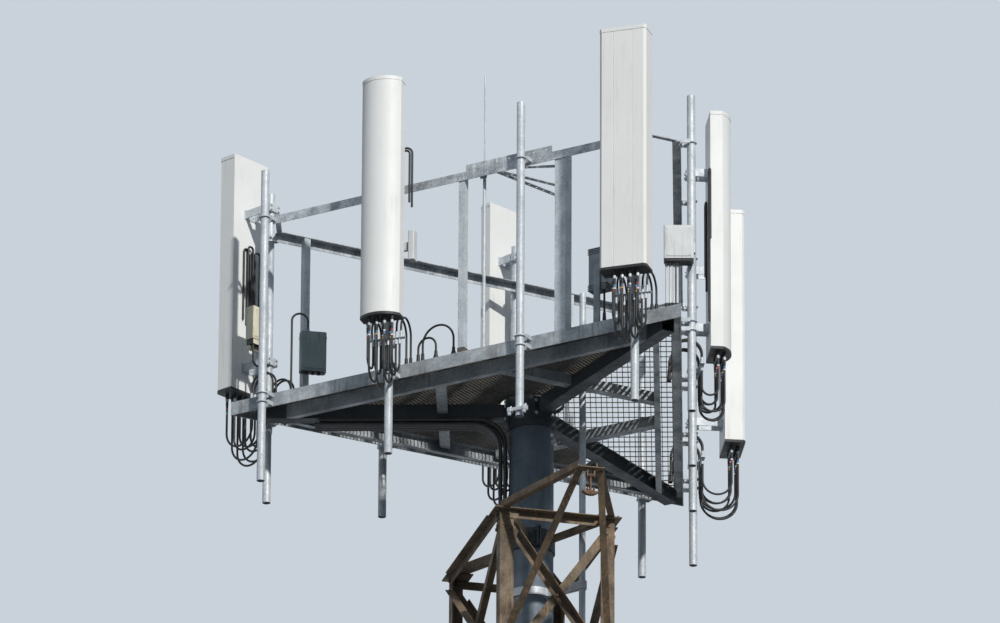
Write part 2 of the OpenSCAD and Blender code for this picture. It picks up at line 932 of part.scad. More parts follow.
// Clamps that hold the riser off the pole
riser_steps = 5;
riser_low = 1200;
riser_ends = 1600;
riser_pitch = (lattice_h - riser_ends) / (riser_steps - 1);
module riser_brackets() {
    bearing = atan2(riser_y, riser_x);
    reach = norm([riser_x, riser_y]);
    color("#8b9197")
        for (i = [0 : riser_steps - 1])
            translate([0, 0, riser_low + i * riser_pitch])
                rotate([0, 0, bearing])
                    difference() {
                        union() {
                            ring(pole_r + fit + 8, 8, 60);
                            translate([pole_r + 4, -20, 0])
                                cube([reach - pole_r, 40, 60]);
                            translate([reach, 0, 0])
                                cylinder(h = 60, r = riser_r + 10, $fn = 32);
                        }
                        translate([0, 0, -1])
                            cylinder(h = 62, r = pole_r + fit, $fn = 64);
                        translate([reach, 0, -1])
                            cylinder(h = 62, r = riser_r + fit, $fn = 48);
                    }
}

// Antenna cables that run down the pole's left side, in two rows
feeder_r = 14;
feeder_n = 4;
feeder_pitch = 34;
feeder_low = 100;
feeder_out = 30;
feeder_bend = 200;
feeder_run = 1150;
module feeder_cables() {
    color("#17181a")
        for (row = [0, 1], i = [0 : feeder_n - 1])
            translate([
                -pole_r - feeder_out - row * feeder_pitch,
                (i - (feeder_n - 1) / 2) * feeder_pitch,
                feeder_low
            ])
                feeder(deck_z + arm_z - arm_tube / 2 - fit - feeder_r - row * feeder_pitch - feeder_low);
}

// A cable that rises to height h through a quarter bend and runs on to the left
module feeder(h) {
    cylinder(h = h - feeder_bend, r = feeder_r, $fn = 16);
    translate([-feeder_bend, 0, h - feeder_bend]) {
        rotate([90, 0, 0])
            rotate_extrude(angle = 90, $fn = 48)
                translate([feeder_bend, 0])
                    circle(feeder_r, $fn = 16);
        translate([0, 0, feeder_bend])
            rotate([0, -90, 0])
                cylinder(h = feeder_run, r = feeder_r, $fn = 16);
    }
}

// Hanger blocks that clamp the cables to the pole
hanger_n = 2 * riser_steps;
module feeder_hangers() {
    color("#2b2d30")
        for (i = [0 : hanger_n - 1])
            translate([0, 0, riser_low + (i / 2 - 1 / 4) * riser_pitch])
                difference() {
                    translate([-pole_r - feeder_out - feeder_pitch - 24, -feeder_n * feeder_pitch / 2 - 6, 0])
                        cube([feeder_out + feeder_pitch + 60, feeder_n * feeder_pitch + 12, 40]);
                    translate([0, 0, -1])
                        cylinder(h = 42, r = pole_r, $fn = 64);
                    for (row = [0, 1], c = [0 : feeder_n - 1])
                        translate([
                            -pole_r - feeder_out - row * feeder_pitch,
                            (c - (feeder_n - 1) / 2) * feeder_pitch,
                            -1
                        ])
                            cylinder(h = 42, r = feeder_r + fit, $fn = 24);
                }
}

// A cable bent back on itself: legs of heights a and b, 2 * bend apart along X,
// with a half circle under them, or over them where up is false
cable_r = 8;
module hairpin(a, b, bend, up = true) {
    mirror([0, 0, up ? 0 : 1]) {
        cylinder(h = a, r = cable_r, $fn = 16);
        translate([2 * bend, 0, 0])
            cylinder(h = b, r = cable_r, $fn = 16);
        translate([bend, 0, 0])
            rotate([90, 0, 0])
                rotate([0, 0, 180])
                    rotate_extrude(angle = 180, $fn = 48)
                        translate([bend, 0])
                            circle(cable_r, $fn = 16);
    }
}

// Cables of one face: each drops from its socket and turns back up to the bar at the pipe,
// and others rise from the bar, over the deck's rail and down into the boots
bar_drop = 130;
bar_w = 290;
bar_depth = 34;
bar_t = 6;
bar_gap = 12;
plug_r = 11;
plug_h = 50;
main_xs = [-112, -78, 78, 112];
main_in = 155;
main_rise = 30;
bar_y = -pipe_r - fit - bar_gap - bar_depth / 2;
module jumper_cables(k) {
    color("#17181a")
        for (a = antennas)
            if (a[0] == k)
                at_antenna(a) {
                    for (s = sockets)
                        jumper(s, s[1] - pipe_r - antenna_gap - a[4]);
                    for (x = main_xs)
                        translate([x, bar_y, -bar_drop + plug_h])
                            main_cable(antenna_z + a[5] - bar_drop + plug_h);
                }
}

// A cable from a socket at distance y to its plug under the bar
module jumper(s, y) {
    low = -base_cap_h - socket_h - s[2];
    translate([s[0], y, low])
        rotate([0, 0, 90])
            hairpin(s[2], -bar_drop - plug_h - low, (bar_y - y) / 2);
}

// A cable from a plug on the bar at height z, over the rail to its boot
module main_cable(z) {
    bend = (main_in - bar_y) / 2;
    translate([0, 0, main_rise])
        rotate([0, 0, 90])
            hairpin(main_rise, z + main_rise - boot_top, bend, false);
}

// The bars under the antennas, each with its strap to the pipe and the plugs on it
module cable_bars() {
    for (a = antennas)
        at_antenna(a)
            translate([0, 0, -bar_drop]) {
                color("#8b9197")
                    cable_bar();
                color("#b9bcb8")
                    plugs();
            }
}

// A flat bar, drilled for its plugs, on a block that is clamped round the pipe
module cable_bar() {
    union() {
        difference() {
            translate([-bar_w / 2, bar_y - bar_depth / 2, -bar_t])
                cube([bar_w, bar_depth, bar_t]);
            for (s = sockets)
                translate([s[0], bar_y, -2 * bar_t])
                    cylinder(h = 3 * bar_t, r = plug_r - 3, $fn = 16);
        }
        difference() {
            translate([-38, bar_y + bar_depth / 2 - 1, -40])
                cube([76, bar_gap + pipe_r + 38, 40 - bar_t + 0.1]);
            cylinder(h = 200, r = pipe_r + fit, center = true, $fn = 48);
        }
    }
}

// The plugs: of the jumpers under the bar and of the main cables on it
module plugs() {
    for (s = sockets)
        translate([s[0], bar_y, -plug_h])
            difference() {
                cylinder(h = plug_h - bar_t - seat, r = plug_r, $fn = 24);
                translate([0, 0, -1])
                    cylinder(h = 21, r = cable_r + seat, $fn = 16);
            }
    for (x = main_xs)
        translate([x, bar_y, seat])
            cylinder(h = plug_h - seat, r = plug_r, $fn = 24);
}

// Black boots on the grating, where the main cables go down through it
boot_h = 90;
boot_hold = 4;
boot_low = ledge_z + grating_h + 2 * seat;
boot_top = boot_low + boot_h - boot_hold + seat;
module cable_boots() {
    color("#1b1c1e") {
        for (a = antennas, x = main_xs)
            at_antenna(a)
                translate([x, main_in, boot_low - antenna_z - a[5]])
                    boot(16);
        for (x = finned_ports)
            at_finned(x, boot_low)
                boot(16);
        for (y = white_ports)
            at_white(y, boot_low)
                boot(16);
        at_green(boot_low)
            translate([green_port + 2 * green_bend, 10, 0])
                boot(24);
        on_face(0)
            for (a = arcs) {
                at(a[0], -arc_in, boot_low)
                    boot(16);
                at(a[0] + a[1], -arc_in, boot_low)
                    boot(30);
            }
    }
}

// One boot: a foot of radius r that narrows to the neck, and the hole that holds the cable
module boot(r) {
    difference() {
        union() {
            cylinder(h = boot_h * 0.75, r1 = r, r2 = 12.5, $fn = 24);
            cylinder(h = boot_h, r = 12, $fn = 24);
        }
        translate([0, 0, boot_h - boot_hold])
            cylinder(h = boot_h, r = cable_r + seat, $fn = 16);
    }
}

// Spare lengths of cable behind the antennas, bent back at their tops: antenna, place of the
// left leg, distance of the legs, heights of the legs' lower ends and of the bend, and layer
spare = [
    [0, 128, 56, 120, 900, 1280, 0],
    [0, 108, 96, 150, 860, 1280, 0],
    [2, -210, 80, 820, 200, 1340, 0],
    [2, 40, 68, 500, 640, 1180, 0],
    [5, 20, 48, 520, 560, 1100, 0],
    [5, -12, 52, 500, 540, 1120, 1],
    [5, -48, 48, 510, 530, 1080, 0],
    [5, -84, 52, 480, 560, 1090, 1],
    [5, -200, 80, 260, 120, 1060, 0],
    [3, -200, 72, 520, 240, 1060, 0],
    [4, -190, 100, 420, 160, 980, 0]
];
module cable_loops() {
    color("#17181a") {
        for (s = spare) {
            a = antennas[s[0]];
            out = pipe_r + antenna_gap + a[4] - (fit + cable_r) - s[6] * (2 * cable_r + fit);
            at_antenna(a)
                translate([s[1], -out, s[5]]) {
                    hairpin(s[5] - s[3], s[5] - s[4], s[2] / 2, false);
                    translate([0, 0, s[3] - s[5] - 1])
                        sleeve();
                    translate([s[2], 0, s[4] - s[5] - 1])
                        sleeve();
                }
        }
        box_cables();
        arc_cables();
    }
}

// The capped end of a spare cable
module sleeve() {
    cylinder(h = 46, r = cable_r + fit / 2, $fn = 24);
}

// Cables that rise from the near edge of the grating and arc down into wide boots:
// place along the face, span, height of the arc's ends
arcs = [[1562, 150, 125], [1600, 262, 150]];
arc_in = 75;
module arc_cables() {
    on_face(0)
        for (a = arcs)
            at(a[0], -arc_in, a[2])
                hairpin(a[2] - boot_top, a[2] - boot_top, a[1] / 2, false);
}

// Cables of the boxes: from the green one's top, under the finned and the cream ones
green_port = 40;
green_bend = 60;
green_rise = 60;
cream_bend = 40;
cream_drop = 120;
finned_ports = [-38, 38];
module box_cables() {
    top = green_z + green_h + 25 + seat + green_rise;
    at_green(top)
        translate([green_port, 10, 0])
            hairpin(green_rise, top - boot_top, green_bend, false);
    for (x = finned_ports)
        at_finned(x, boot_top)
            cylinder(h = finned_z - seat - boot_top, r = cable_r, $fn = 16);
    at_cream(-40 - seat - cream_drop)
        translate([-cream_bend, 18, 0])
            hairpin(cream_drop, cream_drop, cream_bend);
}

// A rectangle with round corners
module rounded(w, d, r) {
    square([w - 2 * r, d], center = true);
    square([w, d - 2 * r], center = true);
    for (x = [-1, 1], y = [-1, 1])
        translate([x * (w / 2 - r), y * (d / 2 - r)])
            circle(r, $fn = 32);
}

// The cream box beside the left face's last pipe, with its black base and fins below
cream_w = 128;
cream_d = 80;
cream_h = 255;
cream_z = 520;
cream_x = 165;
module at_cream(z) {
    on_face(2)
        at(pipe_t[3], pipe_out, cream_z + z)
            rotate([0, 0, antennas[5][3]])
                translate([cream_x, 20, 0])
                    children();
}
module radio_cream() {
    at_cream(0) {
        color("#d8cfae") {
            linear_extrude(cream_h)
                rounded(cream_w, cream_d, 8);
            translate([-cream_x + pipe_r + fit, -32, cream_h / 2 - 30])
                cube([cream_x - cream_w / 2 - pipe_r - fit + 1, 24, 60]);
        }
        color("#26282a") {
            translate([0, 0, -40])
                linear_extrude(41)
                    rounded(cream_w - 14, cream_d - 10, 6);
            for (i = [-3 : 3])
                translate([i * 16 - 2, -cream_d / 2 + 6, -75])
                    cube([4, cream_d / 2 - 8, 36]);
        }
    }
}

// The green-grey box on the left face's last post
green_w = 195;
green_d = 90;
green_h = 309;
green_z = 290;
green_in = 132;
green_turn = -18;
module at_green(z) {
    on_face(2)
        at(posts[4][1], -post_inset(posts[4][2]), z)
            translate([0, green_in, 0])
                rotate([0, 0, green_turn])
                    children();
}
module radio_green() {
    color("#5c665e")
        at_green(green_z)
            difference() {
                union() {
                    linear_extrude(green_h)
                        rounded(green_w, green_d, 22);
                    translate([0, 0, green_h * 0.86])
                        linear_extrude(8)
                            rounded(green_w + 6, green_d + 6, 25);
                    translate([green_port, 10, green_h - 1])
                        cylinder(h = 26, r = 14, $fn = 24);
                }
                translate([0, 0, -1])
                    linear_extrude(26)
                        rounded(green_w - 24, green_d - 24, 14);
            }
    color("#8b9197")
        on_face(2)
            at(posts[4][1] - 20, -post_inset(posts[4][2]) - posts[4][2] / 2 - seat, green_z + 90)
                cube([40, green_in - green_d / 2 - posts[4][2] / 2 - seat + 6, 130]);
}

// The finned box inside the near rail, on its own upright plate
finned_w = 150;
finned_d = 70;
finned_h = 330;
finned_z = 255;
finned_x = -367;
fin_pitch = 15;
module at_finned(x, z) {
    on_face(0)
        at(pipe_t[3] + finned_x + x, -rail_t - seat - 12 - finned_d / 2, z)
            children();
}
module radio_finned() {
    color("#8d9499")
        at_finned(0, finned_z) {
            linear_extrude(finned_h)
                rounded(finned_w, finned_d, 6);
            for (i = [-4 : 4])
                translate([i * fin_pitch - 2, finned_d / 2 - 1, 10])
                    cube([4, 34, finned_h - 20]);
        }
    color("#8b9197")
        at_finned(0, boot_low)
            translate([-26, -12 - finned_d / 2, 0])
                cube([52, 12.5, finned_z + finned_h * 0.8 - boot_low]);
}

// The white box in front of the right face's first pipe, and its pale cables
white_w = 120;
white_d = 215;
white_h = 255;
white_z = 410;
white_x = -pipe_r - 16 - white_w / 2;
white_ports = [100, 126, 152, 178];
module at_white(y, z) {
    on_face(1)
        at(pipe_t[0] + white_x, pipe_out - y, z)
            children();
}
module radio_white() {
    color("#d6d8d8") {
        at_antenna(antennas[0])
            small_box();
        union() {
            at_white(90, white_z)
                linear_extrude(white_h)
                    rounded(white_w, white_d, 10);
            at_white(0, white_z)
                difference() {
                    translate([white_w / 2 - 1, -28, white_h / 2 - 35])
                        cube([17 + pipe_r, 56, 70]);
                    translate([-white_x, 0, -1])
                        cylinder(h = white_h, r = pipe_r + fit, $fn = 48);
                }
        }
    }
    color("#1b1c1e")
        at_white(90, white_z - 16)
            linear_extrude(17)
                rounded(white_w - 16, white_d - 16, 8);
    color("#e4e4e0")
        for (y = white_ports)
            at_white(y, boot_top)
                cylinder(h = white_z - 15 - boot_top, r = cable_r, $fn = 16);
}

// A narrow white box beside the near curved antenna, on an arm from its pipe
small_w = 46;
small_h = 225;
small_z = 485;
module small_box() {
    translate([150 + small_w / 2, 0, small_z])
        linear_extrude(small_h)
            rounded(small_w, 80, 8);
    difference() {
        translate([-42, -16, small_z + small_h / 2 - 30])
            cube([192 + 2, 32, 60]);
        translate([0, 0, small_z])
            cylinder(h = small_h, r = pipe_r + fit, $fn = 48);
    }
}

// A perforated angle that lies on the near handrail and stiffens it
splice_from = 2003;
splice_to = 2731;
splice_hole_r = 7;
module rail_splice() {
    length = splice_to - splice_from;
    color("#a9b0b6")
        on_face(0)
            at(splice_from, 0, hand_h + seat)
                difference() {
                    rotate([90, 0, 90])
                        linear_extrude(length)
                            angle_profile(hand_w * 0.8, 5);
                    for (i = [0 : 6])
                        translate([length * (i + 0.5) / 7, -10, hand_w * 0.45])
                            rotate([-90, 0, 0])
                                cylinder(h = 40, r = splice_hole_r, $fn = 24);
                }
}

// Three perforated arms that fan out from the splice over the deck, on one bolt
arm_root = 2150;
arm_inset = 38;
arm_back = 20;
arm_angles = [25.8, 63.2, 76.6];
arm_lengths = [520, 620, 760];
perforated_t = 5;
module rail_arms() {
    color("#a9b0b6")
        on_face(0)
            for (i = [0 : 2])
                at(arm_root, -arm_inset, hand_h + 5 + 2 * seat + i * (perforated_t + seat))
                    rotate([0, 0, arm_angles[i]])
                        difference() {
                            translate([-arm_back, -20, 0])
                                cube([arm_lengths[i] + arm_back, 40, perforated_t]);
                            for (n = [1 : floor(arm_lengths[i] / 75) - 1])
                                translate([n * 75, 0, -1])
                                    cylinder(h = 40, r = splice_hole_r, $fn = 24);
                        }
}

pole_shaft();
pole_base_flange();
leg(0);  // leg_near_left
leg(1);  // leg_near_right
leg(2);  // leg_far_right
leg(3);  // leg_far_left
cage_side(0);  // cage_side_near
cage_side(1);  // cage_side_right
cage_side(2);  // cage_side_far
cage_side(3);  // cage_side_left
base_side(0);  // base_side_near
base_side(1);  // base_side_right
base_side(2);  // base_side_far
base_side(3);  // base_side_left
top_frame();
pole_collar();
cross_arm();
line_clamp();
ring_mount();
deck_arms();
deck_frame();
deck_joists();
deck_grating(0);  // deck_grating_near
deck_grating(1);  // deck_grating_right
deck_grating(2);  // deck_grating_left
handrail();
handrail_posts();
antenna_pipes(0);  // antenna_pipes_near
antenna_pipes(1);  // antenna_pipes_right
antenna_pipes(2);  // antenna_pipes_left
pipe_clamps(0);  // pipe_clamps_near
pipe_clamps(1);  // pipe_clamps_right
pipe_clamps(2);  // pipe_clamps_left
antenna(antennas[0]);  // antenna_near_curved
antenna(antennas[1]);  // antenna_near_flat
antenna(antennas[2]);  // antenna_right_curved
antenna(antennas[3]);  // antenna_right_flat
antenna(antennas[4]);  // antenna_left_curved
antenna(antennas[5]);  // antenna_left_flat
antenna_brackets(0);  // antenna_brackets_near
antenna_brackets(1);  // antenna_brackets_right
antenna_brackets(2);  // antenna_brackets_left
whip_rod();
riser_pipe();
riser_brackets();
feeder_cables();
feeder_hangers();
jumper_cables(0);  // jumper_cables_near
jumper_cables(1);  // jumper_cables_right
jumper_cables(2);  // jumper_cables_left
cable_bars();
cable_boots();
cable_loops();
radio_cream();
radio_green();
radio_finned();
radio_white();
rail_splice();
rail_arms();
antenna_bases();
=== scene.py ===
"""Looks of a cell tower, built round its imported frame.

A blue-grey pole rises inside a brown lattice tower and carries a triangular
platform with panel antennas, pipes, handrails and cables. The frame gives the
true shapes; this script adds the fine grating, the bolts and the finishes, and
sets the camera, the lamps and the floor. Lengths are in metres.
"""

from __future__ import annotations

import json
import logging
import math
from collections.abc import Iterable, Sequence
from dataclasses import dataclass
from enum import Enum
from itertools import product

import bpy
from mathutils import Matrix, Vector

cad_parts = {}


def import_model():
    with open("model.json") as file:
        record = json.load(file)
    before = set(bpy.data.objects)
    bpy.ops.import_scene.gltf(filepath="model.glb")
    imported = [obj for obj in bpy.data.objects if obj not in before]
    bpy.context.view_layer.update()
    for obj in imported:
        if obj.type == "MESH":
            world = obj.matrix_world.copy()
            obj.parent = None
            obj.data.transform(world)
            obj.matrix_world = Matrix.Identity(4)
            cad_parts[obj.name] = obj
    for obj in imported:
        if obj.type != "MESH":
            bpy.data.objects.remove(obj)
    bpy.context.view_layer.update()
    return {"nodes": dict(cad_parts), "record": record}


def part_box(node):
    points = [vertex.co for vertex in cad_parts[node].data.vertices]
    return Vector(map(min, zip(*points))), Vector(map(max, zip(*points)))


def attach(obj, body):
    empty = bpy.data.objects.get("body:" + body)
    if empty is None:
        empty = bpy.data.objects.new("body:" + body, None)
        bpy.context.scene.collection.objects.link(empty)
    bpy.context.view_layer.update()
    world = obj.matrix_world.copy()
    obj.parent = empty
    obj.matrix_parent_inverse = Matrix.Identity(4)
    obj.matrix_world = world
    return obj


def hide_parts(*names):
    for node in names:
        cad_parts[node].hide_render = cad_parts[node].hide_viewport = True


LOG = logging.getLogger("cell_tower")

Piece = bpy.types.Object
Material = bpy.types.Material
Tree = bpy.types.NodeTree
Node = bpy.types.Node
Plug = bpy.types.NodeSocket
Pair = tuple[float, float]
Triple = tuple[float, float, float]

UP = Vector((0, 0, 1))
FACING_UP = 0.9
BOTH = (-1, 1)
CORNERS = ((-1, -1), (1, -1), (1, 1), (-1, 1))


def turned(degrees: float, axis: str = "Z") -> Matrix:
    """Turn about an axis."""
    return Matrix.Rotation(math.radians(degrees), 4, axis)


def moved(x: float, y: float, z: float) -> Matrix:
    """Shift along the three axes."""
    return Matrix.Translation((x, y, z))


def stand(point: Vector, axis: Vector, spin: float = 0.0) -> Matrix:
    """Frame at a point with its Z along an axis.

    Args:
        point: Origin of the frame.
        axis: Direction of its Z.
        spin: Turn about that axis, in radians.

    Returns:
        The frame as a matrix.
    """
    turn = axis.to_track_quat("Z", "Y").to_matrix().to_4x4()
    return Matrix.Translation(point) @ turn @ Matrix.Rotation(spin, 4, "Z")


# Sizes that the sub-assemblies share


@dataclass(frozen=True)
class LatticePlan:
    """Levels and corners of the lattice tower."""

    cage_bays: int = 2
    cage_bay: float = 1.21
    base_bays: int = 4
    base_bay: float = 1.5
    base_growth: float = 0.3
    cage: Pair = (0.85, 1.52)
    foot: Pair = (2.1, 2.75)
    yaw: float = 15.5
    gauge: float = 0.060
    leg_t: float = 0.0095
    brace_w: float = 0.0635
    brace_t: float = 0.0064
    node_gap: float = 0.075
    foot_gap: float = 0.260
    end_gap: float = 0.004
    plate_in: float = 0.051
    top_plate_t: float = 0.008

    @property
    def turn(self) -> Matrix:
        """The lattice's turn about the pole."""
        return turned(self.yaw)

    @property
    def end_shift(self) -> float:
        """Distance of the first bolt from a level bar's middle."""
        return self.brace_w / 2 + self.end_gap

    @property
    def base_height(self) -> float:
        """Height of the bend between the spreading and the upright part."""
        bays = self.base_bays
        return bays * self.base_bay + self.base_growth * bays * (bays - 1) / 2

    @property
    def height(self) -> float:
        """Height of the leg tops."""
        return self.base_height + self.cage_bays * self.cage_bay

    def half(self, z: float, axis: int) -> float:
        """Half of the lattice's width at a height.

        Args:
            z: Height above the ground.
            axis: 0 for the width, 1 for the depth.

        Returns:
            The distance from the pole's axis to the lattice's outer face.
        """
        cage, foot = self.cage[axis] / 2, self.foot[axis] / 2
        if z >= self.base_height:
            return cage
        return foot + (cage - foot) * z / self.base_height

    def corner(self, side: int, end: int, z: float) -> Vector:
        """Outer corner of a side at a height, before the lattice's turn."""
        x, y = CORNERS[(side + end) % 4]
        return Vector((x * self.half(z, 0), y * self.half(z, 1), z))

    def plate_middle(self, side: int, z: float, top: float) -> Vector:
        """Middle of a leg's plate whose top is so far over a height, before the turn."""
        x, y = CORNERS[side]
        return self.corner(side, 0, z) + Vector((-x * self.plate_in, -y * self.plate_in, top))

    def gauge_point(self, side: int, end: int, z: float) -> Vector:
        """Point on a leg's bolt line at a height, before the lattice's turn."""
        here, there = self.corner(side, end, z), self.corner(side, 1 - end, z)
        return here + self.gauge * (there - here).normalized()

    def normal(self, side: int, low: float, high: float) -> Vector:
        """Outward normal of a side, before the lattice's turn.

        Args:
            side: Number of the side.
            low: Lower height on it.
            high: Upper height on it.

        Returns:
            The normal, one long.
        """
        start = self.corner(side, 0, low)
        along = self.corner(side, 1, low) - start
        return along.cross(self.corner(side, 0, high) - start).normalized()

    def cage_level(self, i: int) -> float:
        """Height of the i-th level of the upright part, counted down."""
        return self.height - i * self.cage_bay

    def base_level(self, i: int) -> float:
        """Height of the i-th level of the spreading part, counted down."""
        return self.base_height - i * self.base_bay - self.base_growth * i * (i - 1) / 2


@dataclass(frozen=True)
class DeckPlan:
    """Heights, faces and pipes of the triangular platform."""

    deck_z: float = 11.38
    side: float = 3.81
    rail_h: float = 0.102
    rail_t: float = 0.008
    hand_h: float = 1.402
    hand_w: float = 0.0635
    hand_t: float = 0.0064
    pipe_t: tuple[float, ...] = (0.316, 1.405, 2.513, 3.470)
    pipe_out: float = 0.073
    pipe_r: float = 0.03015
    bracket_z: tuple[float, ...] = (0.180, 1.400)
    ledge_z: float = -0.037
    seat: float = 0.00015
    arm_half: float = 0.051
    grating_h: float = 0.030
    grating_clear: float = 0.003
    pole_r: float = 0.16195
    riser: Pair = (0.375, -0.260)
    riser_hole: float = 0.034

    @property
    def face_in(self) -> float:
        """Distance from the pole's axis to a face of the deck."""
        return self.side / (2 * math.sqrt(3))

    def face(self, k: int) -> Matrix:
        """Frame of face k: X along the face, Y inward, Z up."""
        return turned(-30 + 120 * k)

    def at(self, k: int, along: float, out: float, z: float) -> Matrix:
        """Frame at a place on a face.

        Args:
            k: Face number: 0 near, 1 right, 2 left.
            along: Distance from the face's first corner.
            out: Distance outside the face.
            z: Height over the deck's rail top.

        Returns:
            The place, turned with the face, its Y pointing inward.
        """
        return self.face(k) @ moved(along - self.side / 2, -self.face_in - out, self.deck_z + z)


@dataclass(frozen=True)
class Post:
    """An upright tube of the handrail."""

    face: int
    along: float
    width: float

    @property
    def inset(self) -> float:
        """Distance of its middle from the deck's edge."""
        return DECK.rail_t + DECK.seat + self.width / 2


@dataclass(frozen=True)
class Antenna:
    """One antenna on its pipe."""

    face: int
    pipe: int
    yaw: float
    added_gap: float
    lift: float
    low_z: float = 0.240
    least_gap: float = 0.090

    @property
    def back(self) -> float:
        """Place of the antenna's back on its frame's Y."""
        return -DECK.pipe_r - self.least_gap - self.added_gap

    @property
    def place(self) -> Matrix:
        """Frame on the pipe's axis at the antenna's lower end, -Y toward its front."""
        along = DECK.pipe_t[self.pipe]
        return DECK.at(self.face, along, DECK.pipe_out, self.low_z + self.lift) @ turned(self.yaw)


LATTICE = LatticePlan()
DECK = DeckPlan()
POSTS = (
    Post(0, 1.963, 0.050), Post(0, 2.796, 0.089), Post(1, 1.905, 0.050),
    Post(2, 1.000, 0.050), Post(2, 3.228, 0.050),
)
ANTENNAS = (
    Antenna(0, 1, 12.5, 0.0, 0.055), Antenna(0, 3, 12.5, 0.015, -0.015),
    Antenna(1, 1, 7.0, 0.0, -0.060), Antenna(1, 3, 7.0, 0.100, 0.010),
    Antenna(2, 1, 17.0, 0.0, 0.0), Antenna(2, 3, 19.0, 0.090, -0.018),
)


# Shader node groups


class Socket(Enum):
    """Kinds of group socket."""

    NUMBER = "NodeSocketFloat"
    VECTOR = "NodeSocketVector"


class NodeTree:
    """Adds and links nodes of one shader tree."""

    def __init__(self, tree: Tree) -> None:
        """Keeps the tree that nodes are added to."""
        self.tree = tree

    def feed(self, node: Node, inputs: dict[str | int, object]) -> None:
        """Gives a node's inputs what they take.

        Args:
            node: The node.
            inputs: A socket to link or a value to set, by the input's name or number.
        """
        for key, value in inputs.items():
            if isinstance(value, Plug):
                self.tree.links.new(value, node.inputs[key])
            else:
                node.inputs[key].default_value = value

    def add(self, kind: str, inputs: dict[str | int, object] | None = None, **settings: object) -> Node:
        """Adds a node.

        Args:
            kind: Blender's name of the node's type.
            inputs: What its inputs take.
            **settings: Its properties.

        Returns:
            The new node.
        """
        node = self.tree.nodes.new(kind)
        for name, value in settings.items():
            setattr(node, name, value)
        self.feed(node, inputs or {})
        return node

    def math(self, operation: str, *values: object, clamp: bool = False) -> Plug:
        """Adds a Math node.

        Args:
            operation: Blender's name of the operation.
            *values: What its inputs take.
            clamp: Whether the result stays between 0 and 1.

        Returns:
            The node's value.
        """
        inputs = dict(enumerate(values))
        return self.add("ShaderNodeMath", inputs, operation=operation, use_clamp=clamp).outputs[0]

    def mix(self, factor: object, first: object, second: object, blend: str = "MIX") -> Plug:
        """Adds a colour Mix node and returns its colour."""
        inputs = {"Factor": factor, 6: first, 7: second}
        return self.add("ShaderNodeMix", inputs, data_type="RGBA", blend_type=blend).outputs[2]

    def ramp(self, value: object, low: float, high: float, start: float = 0.0, end: float = 1.0) -> Plug:
        """Adds a smooth Map Range node and returns its result."""
        inputs = {"Value": value, "From Min": low, "From Max": high, "To Min": start, "To Max": end}
        return self.add("ShaderNodeMapRange", inputs, interpolation_type="SMOOTHSTEP").outputs["Result"]

    def noise(self, place: Plug, scale: object, detail: float = 4.0, roughness: float = 0.6) -> Plug:
        """Adds a Noise Texture and returns its value."""
        inputs = {"Vector": place, "Scale": scale, "Detail": detail, "Roughness": roughness}
        return self.add("ShaderNodeTexNoise", inputs).outputs["Fac"]

    def mask(self, group: Tree, place: Plug, **numbers: float) -> Plug:
        """Adds a shared mask group and returns its mask."""
        inputs = {"Vector": place, **numbers}
        return self.add("ShaderNodeGroup", inputs, node_tree=group).outputs["Mask"]


class MaskGroup(NodeTree):
    """A reusable node group that puts out one mask."""

    def __init__(self, name: str, **numbers: float) -> None:
        """Makes the group with a Vector input, number inputs and one Mask output.

        Args:
            name: Name of the group.
            **numbers: Default of each number input.
        """
        super().__init__(bpy.data.node_groups.new(name, "ShaderNodeTree"))
        self._socket("Vector", "INPUT", Socket.VECTOR)
        for label, default in numbers.items():
            self._socket(label, "INPUT", Socket.NUMBER).default_value = default
        self._socket("Mask", "OUTPUT", Socket.NUMBER)
        self.given = self.add("NodeGroupInput").outputs

    def _socket(self, label: str, way: str, kind: Socket) -> bpy.types.NodeTreeInterfaceSocket:
        """Adds a socket to the group's outside."""
        return self.tree.interface.new_socket(name=label, in_out=way, socket_type=kind.value)

    def finish(self, mask: Plug) -> Tree:
        """Sends a value to the Mask output and returns the tree."""
        self.add("NodeGroupOutput", {"Mask": mask})
        return self.tree


